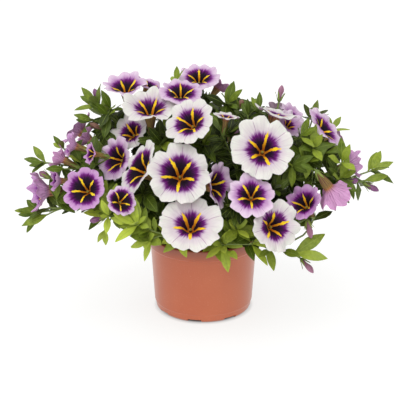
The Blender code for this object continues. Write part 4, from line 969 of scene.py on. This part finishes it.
def fine_spray(short, fresh, plan):
    """Leaves of a spray as one piece, its stems, calyces and buds as another."""
    rng = random.Random("spray_" + short)
    leaves, stems = Skin(), Skin()
    for branch in plan.branches[short]:
        for root, direction, top, length, width in branch.blades.values():
            # darker deep inside the plant: painted shade
            tint = fresh + rng.uniform(*LEAF_TINTS) - SHADED * depth_inside(root + direction * length)
            blade(leaves, root, direction, top, length, width * BLADE_SPREAD, BLADE_ROWS,
                  BLADE_SHEET, LEAF_DROOP, tint, rng)
        path = eased_path(branch.path)
        rings = rings_along(path, branch.first, branch.last, FINE_SIDES)
        stems.grid([[path[0]], *rings, [path[-1]]], lambda i, j: (j / FINE_SIDES, i * 0.4),
                   fresh + rng.uniform(*STEM_TINTS), 0)
        if branch.cup:
            foot, out = branch.cup
            fine_calyx(stems, foot, out, rng, fresh + rng.uniform(*CUP_TINTS))
        if branch.bud:
            length, look = branch.bud
            fine_bud(stems, foot + out * CALYX_FLOOR, out, length, STEM_LOOKS.index("bud_" + look))
    for filler in plan.fillers[short]:
        # inner leaves tinted darker, as painted shade
        tint = fresh * FILL_SHADE_FACTOR + rng.uniform(*FILL_TINTS) - SHADED * depth_inside(filler[0])
        blade(leaves, *filler, BLADE_ROWS[::2], BLADE_SHEET, LEAF_DROOP, tint, rng)
    leaves.piece("leaves_" + short, ("leaf_top", "leaf_under"), "leaf", "spray_" + short)
    stems.piece("stems_" + short, STEM_LOOKS, "leaf", "spray_" + short)


def rounded(points, reach):
    """Profile with each corner drawn as a short curve."""
    made = [Vector(points[0])]
    for a, b, c in zip(points, points[1:], points[2:]):
        a, b, c = Vector(a), Vector(b), Vector(c)
        before = b + (a - b).normalized() * min(reach, (a - b).length * 0.4)
        after = b + (c - b).normalized() * min(reach, (c - b).length * 0.4)
        made += [before, (before + b * 2 + after) / 4, after]
    return made + [Vector(points[-1])]


def cutter(spot, turn, size, sides=None):
    """Closed box, or cylinder where sides are given, that cuts the pot."""
    matrix = (Matrix.Translation(spot * MM) @ Matrix.Rotation(math.radians(turn), 4, "Z")
              @ Matrix.Diagonal((*[length * MM for length in size], 1)))
    work = bmesh.new()
    if sides:
        bmesh.ops.create_cone(work, cap_ends=True, segments=sides, radius1=1, radius2=1, depth=1,
                              matrix=matrix)
    else:
        bmesh.ops.create_cube(work, size=1.0, matrix=matrix)
    data = bpy.data.meshes.new("cutter")
    work.to_mesh(data)
    work.free()
    return bpy.data.objects.new("cutter", data)


def fine_pot():
    """Smoothly turned pot with soft corners, foot cut-outs and drain holes."""
    profile = rounded(POT_PROFILE, POT_CORNER)
    data = bpy.data.meshes.new("pot_body")
    data.from_pydata([(p.x * MM, 0, p.y * MM) for p in profile],
                     [(k, k + 1) for k in range(len(profile) - 1)], [])
    pot = placed("pot_body", data)
    turn = pot.modifiers.new("Turn", "SCREW")
    turn.steps = turn.render_steps = POT_STEPS
    turn.use_merge_vertices = True
    turn.merge_threshold = 0.00001
    cutters = bpy.data.collections.new("PotCutters")
    bpy.context.scene.collection.children.link(cutters)
    for k in range(NOTCH_COUNT):
        azimuth = NOTCH_START + 360 / NOTCH_COUNT * k
        cutters.objects.link(cutter(heading(azimuth, 0) * NOTCH_MIDDLE, azimuth, NOTCH_SIZE))
    for k in range(DRAIN_COUNT):
        spot = heading(DRAIN_START + 360 / DRAIN_COUNT * k, 0) * DRAIN_RING + UP * DRAIN_MIDDLE
        cutters.objects.link(cutter(spot, 0, DRAIN_SIZE, DRAIN_SIDES))
    cut = pot.modifiers.new("Cut", "BOOLEAN")
    cut.operation, cut.operand_type, cut.collection = "DIFFERENCE", "COLLECTION", cutters
    view = bpy.context.evaluated_depsgraph_get()
    pot.data = bpy.data.meshes.new_from_object(pot.evaluated_get(view))
    pot.modifiers.clear()
    for obj in list(cutters.objects):
        bpy.data.objects.remove(obj)
    bpy.data.collections.remove(cutters)
    work = bmesh.new()
    work.from_mesh(pot.data)
    bmesh.ops.recalc_face_normals(work, faces=work.faces)
    work.to_mesh(pot.data)
    work.free()
    pot.data.materials.append(bpy.data.materials["terracotta"])
    pot.data.shade_smooth()
    pot.data.set_sharp_from_angle(angle=math.radians(POT_SHARP))
    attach(pot, "root")
    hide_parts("pot")


def fine_peat():
    """Lumpy plug of peat with loose crumbs on it."""
    rng = random.Random(5)

    def lump(spot):
        return sum(noise.noise(spot * scale) * height for height, scale in LUMPS)

    def ring(radius, height):
        return circle(UP * height, UP, Vector((1, 0, 0)), radius, PEAT_SIDES)

    rows = [[UP * PEAT_SIDE[0][1]]] + [ring(*place) for place in PEAT_SIDE]
    for radius in PEAT_RINGS:
        rows.append([spot + UP * lump(spot) for spot in ring(radius, PEAT_TOP)])
    rows.append([UP * PEAT_TOP])
    skin = Skin()
    skin.grid(rows, lambda i, j: (j / PEAT_SIDES, i / len(rows)))
    for _ in range(CRUMBS):
        r, a = CRUMB_RING * math.sqrt(rng.random()), rng.uniform(0, math.tau)
        spot = Vector((r * math.cos(a), r * math.sin(a), PEAT_TOP))
        spot.z += lump(spot) + CRUMB_LIFT
        size = rng.uniform(*CRUMB_SIZE)
        axis = Vector([rng.uniform(-1, 1) for _ in range(3)]).normalized()
        ball(skin, spot, axis, size, size * rng.uniform(*CRUMB_SQUAT), CRUMB_SIDES, rng.random(), 0)
    skin.piece("peat_crumbs", ("peat_fine",), "peat", "peat")


class Value:
    """Output of a node; sums, differences and products of values add nodes."""

    def __init__(self, look, socket):
        self.look, self.socket = look, socket

    def __add__(self, other):
        return self.look.math("ADD", self, other)

    def __sub__(self, other):
        return self.look.math("SUBTRACT", self, other)

    def __rsub__(self, other):
        return self.look.math("SUBTRACT", other, self)

    def __mul__(self, other):
        return self.look.math("MULTIPLY", self, other)

    def __abs__(self):
        return self.look.math("ABSOLUTE", self)


class Nodes:
    """Nodes of a material or of the surroundings; a method adds a node and gives its output."""

    def __init__(self, owner, shader="Principled BSDF", **settings):
        owner.use_nodes = True
        self.tree = owner.node_tree
        self.sockets = self.tree.nodes[shader].inputs
        for key, value in settings.items():
            self.sockets[key.replace("_", " ")].default_value = value

    def node(self, kind, *values, output=0, **settings):
        made = self.tree.nodes.new(kind)
        for key, value in settings.items():
            setattr(made, key, value)
        for socket, value in zip(made.inputs, values):
            self.put(socket, value)
        return Value(self, made.outputs[output])

    def put(self, socket, value):
        """Link a value to a socket, or set its number or colour."""
        if isinstance(value, Value):
            self.tree.links.new(value.socket, socket)
        elif value is not None:
            socket.default_value = (*value, 1) if isinstance(value, tuple) else value

    def math(self, operation, *values):
        return self.node("ShaderNodeMath", *values, operation=operation)

    def ramp(self, value, *stops):
        """Colours or numbers between places on a scale."""
        made = self.node("ShaderNodeValToRGB", value)
        elements = made.socket.node.color_ramp.elements
        elements.remove(elements[1])
        elements[0].position = stops[0][0]
        for k, (position, colour) in enumerate(stops):
            element = elements.new(position) if k else elements[0]
            element.color = (*(colour if isinstance(colour, tuple) else (colour,) * 3), 1)
        return made


class Look(Nodes):
    """Material in the making, with its places on the piece: u, v, spot and the tint there."""

    def __init__(self, name, **settings):
        super().__init__(bpy.data.materials.new(name), **settings)
        place = self.node("ShaderNodeUVMap", uv_map="Map")
        self.u = self.node("ShaderNodeSeparateXYZ", place)
        self.v = self.node("ShaderNodeSeparateXYZ", place, output=1)
        self.spot = self.node("ShaderNodeTexCoord", output="Object")
        self.tint = self.node("ShaderNodeAttribute", output="Fac", attribute_name="tint")

    def noise(self, place, scale, detail=2.0, rough=0.5):
        return self.node("ShaderNodeTexNoise", place, None, scale, detail, rough)

    def flow(self, around, along, detail=2.0, rough=0.5):
        """Noise drawn out over the UV map."""
        place = self.node("ShaderNodeCombineXYZ", self.u * around, self.v * along)
        return self.noise(place, 1.0, detail, rough)

    def smooth(self, value, low, high):
        """0 at low and 1 at high."""
        return self.node("ShaderNodeMapRange", value, low, high, interpolation_type="SMOOTHSTEP")

    def mix(self, factor, a, b):
        return self.node("ShaderNodeMix", factor, *[None] * 5, a, b, output=2, data_type="RGBA")

    def finish(self, colour, height, depth, strength=0.5):
        """Join the colour and the bumps to the shader."""
        self.put(self.sockets["Base Color"], colour)
        bumps = self.node("ShaderNodeBump")
        for key, value in (("Strength", strength), ("Distance", depth), ("Height", height)):
            self.put(bumps.socket.node.inputs[key], value)
        self.put(self.sockets["Normal"], bumps)


PETAL = {"Roughness": 0.75, "Specular_IOR_Level": 0.2, "Subsurface_Weight": 0.35,
         "Subsurface_Radius": (1.0, 0.7, 0.9), "Subsurface_Scale": 0.0012}
# Blooms: pale petal, its tinge and how much of it, back of the petal and its veins
PETALS = {
    "cream": ((0.76, 0.735, 0.69), (0.56, 0.42, 0.54), 0.30, (0.62, 0.48, 0.57), (0.34, 0.15, 0.30)),
    "lilac": ((0.75, 0.60, 0.73), (0.48, 0.27, 0.48), 0.8, (0.54, 0.33, 0.50), (0.26, 0.09, 0.22)),
    "violet": ((0.60, 0.37, 0.60), (0.34, 0.13, 0.35), 0.85, (0.60, 0.35, 0.58), (0.24, 0.07, 0.22)),
    "dusty": ((0.52, 0.30, 0.48), (0.36, 0.15, 0.33), 0.8, (0.60, 0.33, 0.54), (0.26, 0.08, 0.20)),
}
# Colour of the throat and its fringe by distance from the middle, and of the arms of the star
VIOLET = ((0.0, (0.005, 0.0003, 0.005)), (0.24, (0.009, 0.0004, 0.011)),
          (0.34, (0.036, 0.001, 0.042)), (0.43, (0.105, 0.004, 0.118)),
          (0.51, (0.200, 0.020, 0.230)), (0.59, (0.40, 0.13, 0.44)))
GOLD = ((0.05, (0.30, 0.07, 0.004)), (0.14, (0.52, 0.15, 0.004)), (0.26, (0.78, 0.36, 0.006)),
        (0.38, (0.95, 0.62, 0.012)), (0.55, (0.93, 0.66, 0.04)))
HEART = ((0.03, (0.02, 0.006, 0.002)), (0.07, (0.42, 0.13, 0.006)), (0.12, (0.5, 0.17, 0.006)))
ARM_WIDTH = ((0.0, 0.70), (0.12, 0.62), (0.22, 0.80), (0.34, 0.92), (0.43, 0.82), (0.50, 0.50),
             (0.56, 0.0))
# Other surfaces: two colours, scale of the pattern, roughness, depth of the bumps, stretch
PLAIN = {
    "stem": ((0.10, 0.16, 0.03), (0.24, 0.30, 0.06), 3.0, 0.55, 0.0002, 3.0),
    "bud_pink": ((0.42, 0.20, 0.30), (0.26, 0.09, 0.16), 2.0, 0.6, 0.0002, 4.0),
    "bud_dark": ((0.13, 0.03, 0.12), (0.30, 0.12, 0.26), 2.0, 0.6, 0.0002, 4.0),
    "bud_brown": ((0.16, 0.07, 0.05), (0.34, 0.18, 0.12), 2.0, 0.65, 0.0002, 4.0),
    "stigma": ((0.30, 0.42, 0.06), (0.20, 0.26, 0.03), 900.0, 0.4, 0.0002, None),
    "anther": ((0.62, 0.42, 0.06), (0.40, 0.22, 0.03), 900.0, 0.7, 0.0002, None),
    "peat_fine": ((0.012, 0.008, 0.006), (0.060, 0.040, 0.028), 420.0, 0.95, 0.0006, None),
}


def lobe_places(look):
    """Distances from the nearest seam and from the nearest midrib, in radii."""
    rib = abs(look.math("FRACT", look.u) - 0.5)
    arc = look.v * (math.tau / LOBES)
    return (0.5 - rib) * arc, rib * arc


def petal_look(name, pale, tinge, tinged):
    """Face of a bloom: pale petal, violet fringe, dark throat and a yellow star on the seams."""
    look = Look("petal_" + name, **PETAL)
    from_seam, from_rib = lobe_places(look)
    part, reach = look.v, look.tint
    streaks, fine, ridges = (look.flow(around, along, 3.0, rough) for around, along, rough
                             in ((9.0, 1.6, 0.6), (26.0, 5.0, 0.6), (16.0, 1.1, 0.65)))
    tinge_part = look.flow(0.9, 1.4) * 1.2 + look.smooth(part, 1.0, 0.5) * 0.65
    petal = look.mix(look.smooth(tinge_part, 0.65, 1.25) * tinged, pale, tinge)
    petal = look.mix(look.smooth(ridges, 0.45, 0.75) * 0.30, petal, tuple(c * 0.8 for c in tinge))
    line = look.smooth(from_rib, 0.013, 0.003) * (look.smooth(part, 1.0, 0.85) * 0.75)
    petal = look.mix(line, petal, (0.26, 0.07, 0.24))
    # painted shade along the seam valleys of the outer petal, in the tinge colour
    crease_shade = look.smooth(from_seam, 0.020, 0.003) * (look.smooth(part, 0.55, 0.75) * 0.35)
    petal = look.mix(crease_shade, petal, tinge)
    frayed = part + (streaks - 0.5) * 0.34 + (fine - 0.5) * 0.10
    frayed = frayed + look.smooth(from_rib, 0.16, 0.0) * -0.045 - reach
    wash = look.smooth(frayed, 0.92, 0.50) * (tinged * 0.42)
    petal = look.mix(wash, petal, (0.40, 0.15, 0.44))
    face = look.mix(look.smooth(frayed, 0.64, 0.45), petal, look.ramp(frayed, *VIOLET))
    own = look.node("ShaderNodeTexWhiteNoise", None, look.math("FLOOR", look.u + 0.5),
                    noise_dimensions="1D")
    longer = (own - 0.5) * 0.22 + reach * -0.7
    half = look.ramp(part + (fine - 0.5) * 0.28 + longer, *ARM_WIDTH)
    half = half * (look.flow(3.0, 9.0) * 0.115 + 0.002)
    gold = look.mix(look.smooth(fine, 0.42, 0.7) * 0.35, look.ramp(part, *GOLD), (0.55, 0.26, 0.01))
    face = look.mix(look.smooth(half - from_seam, 0.0, 0.010), face, gold)
    face = look.mix(look.smooth(part, 0.105, 0.075), face, look.ramp(part, *HEART))
    look.finish(face, ridges * 1.4 + look.noise(look.spot, 900.0, 3.0), 0.0005, 0.6)


def back_look(name, pale, vein):
    """Back of a bloom with its veins, and the brownish yellow tube."""
    look = Look("back_" + name, **PETAL)
    _, from_rib = lobe_places(look)
    part = look.v
    streaks = look.flow(7.0, 1.2, 4.0, 0.65)
    petal = look.mix(look.smooth(streaks, 0.42, 0.72) * 0.35, pale, vein)
    branch = look.math("FRACT", look.u * 5.0 + look.flow(2.0, 3.0) * 2.5)
    thread = look.smooth(abs(branch - 0.5), 0.13, 0.02) * look.smooth(part, 0.98, 0.35)
    petal = look.mix(thread * 0.80, petal, tuple(c * 0.7 for c in vein))
    petal = look.mix(look.smooth(from_rib, 0.02, 0.004) * 0.7, petal, vein)
    tube_colour = look.ramp(part, (0.0, (0.26, 0.18, 0.05)), (0.16, (0.42, 0.19, 0.06)),
                            (0.36, (0.40, 0.16, 0.19)))
    tube_colour = look.mix(look.smooth(streaks, 0.46, 0.62), tube_colour, (0.10, 0.018, 0.045))
    look.finish(look.mix(look.smooth(part, 0.14, 0.46), tube_colour, petal), streaks, 0.0003)


def leaf_look(name, dark, middle, bright, vein):
    """Leaf surface: tinted by age and darker deep in the plant as painted shade, mottled, with pale
    patches that are partly painted sheen, a pale midvein and faint side veins.
    """
    look = Look(name, Roughness=0.44, Specular_IOR_Level=0.24)
    mottle = look.noise(look.spot, 320.0, 3.0)
    # pale grey-green patches: partly the leaf's own uneven tone, partly a painted sheen of its fine
    # hairs, stronger on fresher leaves
    pale_tone_and_sheen = look.smooth(look.noise(look.spot, 70.0, 2.0), 0.40, 0.72)
    # the tint carries the leaf's age and its painted shade inside the plant
    age_and_shade = look.tint + (mottle - 0.5) * 0.35
    green = look.ramp(age_and_shade, (0.0, dark), (0.42, middle), (0.95, bright))
    green = look.mix(pale_tone_and_sheen * age_and_shade * 0.35, green, (0.22, 0.28, 0.08))
    aside = abs(look.u - 0.5)
    slant = look.math("FRACT", look.v * 7.0 - aside * 5.0)
    side_vein = look.smooth(abs(slant - 0.5), 0.10, 0.02)
    main_vein = look.smooth(aside, 0.045, 0.012)
    face = look.mix(side_vein * 0.18, green, vein)
    face = look.mix(main_vein * 0.55, face, vein)
    face = look.mix(look.smooth(aside, 0.44, 0.5) * 0.3, face, vein)
    look.finish(face, mottle * 0.4 - (main_vein + side_vein * 0.5), 0.0002, 0.6)


def plain_look(name, first, second, scale, roughness, depth, stretch):
    """Two colours in a noise pattern, drawn out along the piece where asked."""
    look = Look(name, Roughness=roughness)
    spot = look.spot
    if stretch:
        spot = look.node("ShaderNodeCombineXYZ", look.u * stretch, look.v)
    pattern = look.noise(spot, scale, 4.0, 0.6)
    look.finish(look.mix(look.smooth(pattern, 0.35, 0.68), first, second), pattern, depth)


def clay_look():
    """Clay-coloured plastic with a fine grain, darker where the leaves shade its rim."""
    look = Look("terracotta", Roughness=0.28, Specular_IOR_Level=0.70)
    cloud, grain = look.noise(look.spot, 18.0, 3.0), look.noise(look.spot, 900.0, 2.0)
    clay = look.mix(look.smooth(cloud, 0.3, 0.7), (0.49, 0.104, 0.034), (0.535, 0.125, 0.042))
    clay = look.mix(look.smooth(grain, 0.6, 0.75) * 0.25, clay, (0.66, 0.28, 0.18))
    height = look.node("ShaderNodeSeparateXYZ", look.spot, output=2)
    # painted shade: the band just under the rim darkens towards the top, where the leaves shade it
    clay = look.mix(look.smooth(height, 0.057, 0.071) * 0.75, clay, (0.27, 0.062, 0.030))
    look.finish(clay, grain, 0.00008, 0.35)


def make_looks():
    """All materials."""
    for name, (pale, tinge, tinged, back, vein) in PETALS.items():
        petal_look(name, pale, tinge, tinged)
        back_look(name, back, vein)
    leaf_look("leaf_top", (0.014, 0.024, 0.002), (0.086, 0.138, 0.006), (0.50, 0.61, 0.065),
              (0.29, 0.37, 0.07))
    leaf_look("leaf_under", (0.052, 0.074, 0.016), (0.17, 0.23, 0.045), (0.37, 0.46, 0.09),
              (0.31, 0.37, 0.11))
    for name, settings in PLAIN.items():
        plain_look(name, *settings)
    clay_look()


def sun(name, spot, energy, spread):
    """Soft sunlight that comes from the side of a spot."""
    data = bpy.data.lights.new(name, "SUN")
    data.energy, data.angle = energy, math.radians(spread)
    placed(name, data).rotation_euler = (-Vector(spot)).to_track_quat("-Z", "Y").to_euler()


def stage():
    """Camera, white glowing floor with a painted shadow round the pot's foot, even surroundings and
    soft lamps.
    """
    scene = bpy.context.scene
    data = bpy.data.cameras.new("camera")
    data.sensor_width = SENSOR
    data.lens = FOCAL_PIXELS / IMAGE_PIXELS * SENSOR
    scene.camera = placed("camera", data)
    back = heading(-90, CAMERA_ELEVATION)
    scene.camera.location = CAMERA_AIM + back * CAMERA_DISTANCE
    scene.camera.rotation_euler = back.to_track_quat("Z", "Y").to_euler()
    bpy.ops.mesh.primitive_plane_add(size=FLOOR_SIZE)
    floor = bpy.context.object
    floor.name = "floor"
    paper = bpy.data.materials.new("paper")
    look = Nodes(paper, Base_Color=FLOOR_BASE, Roughness=0.9, Emission_Color=FLOOR_LIGHT)
    place = look.node("ShaderNodeTexCoord", output="Object")
    away = look.node("ShaderNodeVectorMath", place, output="Value", operation="LENGTH")
    # painted shadow: the floor's glow fades towards the pot's axis
    look.put(look.sockets["Emission Strength"], look.ramp(away, *FLOOR_GLOW_PAINTED_SHADOW))
    floor.data.materials.append(paper)
    world = bpy.data.worlds.new("surroundings")
    sky = Nodes(world, "Background", Color=(1.0, 1.0, 1.0, 1))
    place = sky.node("ShaderNodeTexCoord", output="Generated")
    height = sky.node("ShaderNodeSeparateXYZ", place, output=2)
    sky.put(sky.sockets["Strength"], sky.node("ShaderNodeMapRange", height, *SKY))
    scene.world = world
    scene.view_settings.view_transform = "Standard"
    sun("key", (-0.35, -0.7, 1.6), 1.25, 50)
    sun("front", (-0.25, -1.5, 0.75), 0.75, 28)


def main():
    make_looks()
    plan = Plan()
    fine_pot()
    fine_peat()
    for index, (name, spec) in enumerate(BLOOMS.items()):
        fine_bloom(index, name, *spec)
    for name, spec in SPRAYS.items():
        fine_spray(name, spec[1], plan)
    stage()


main()
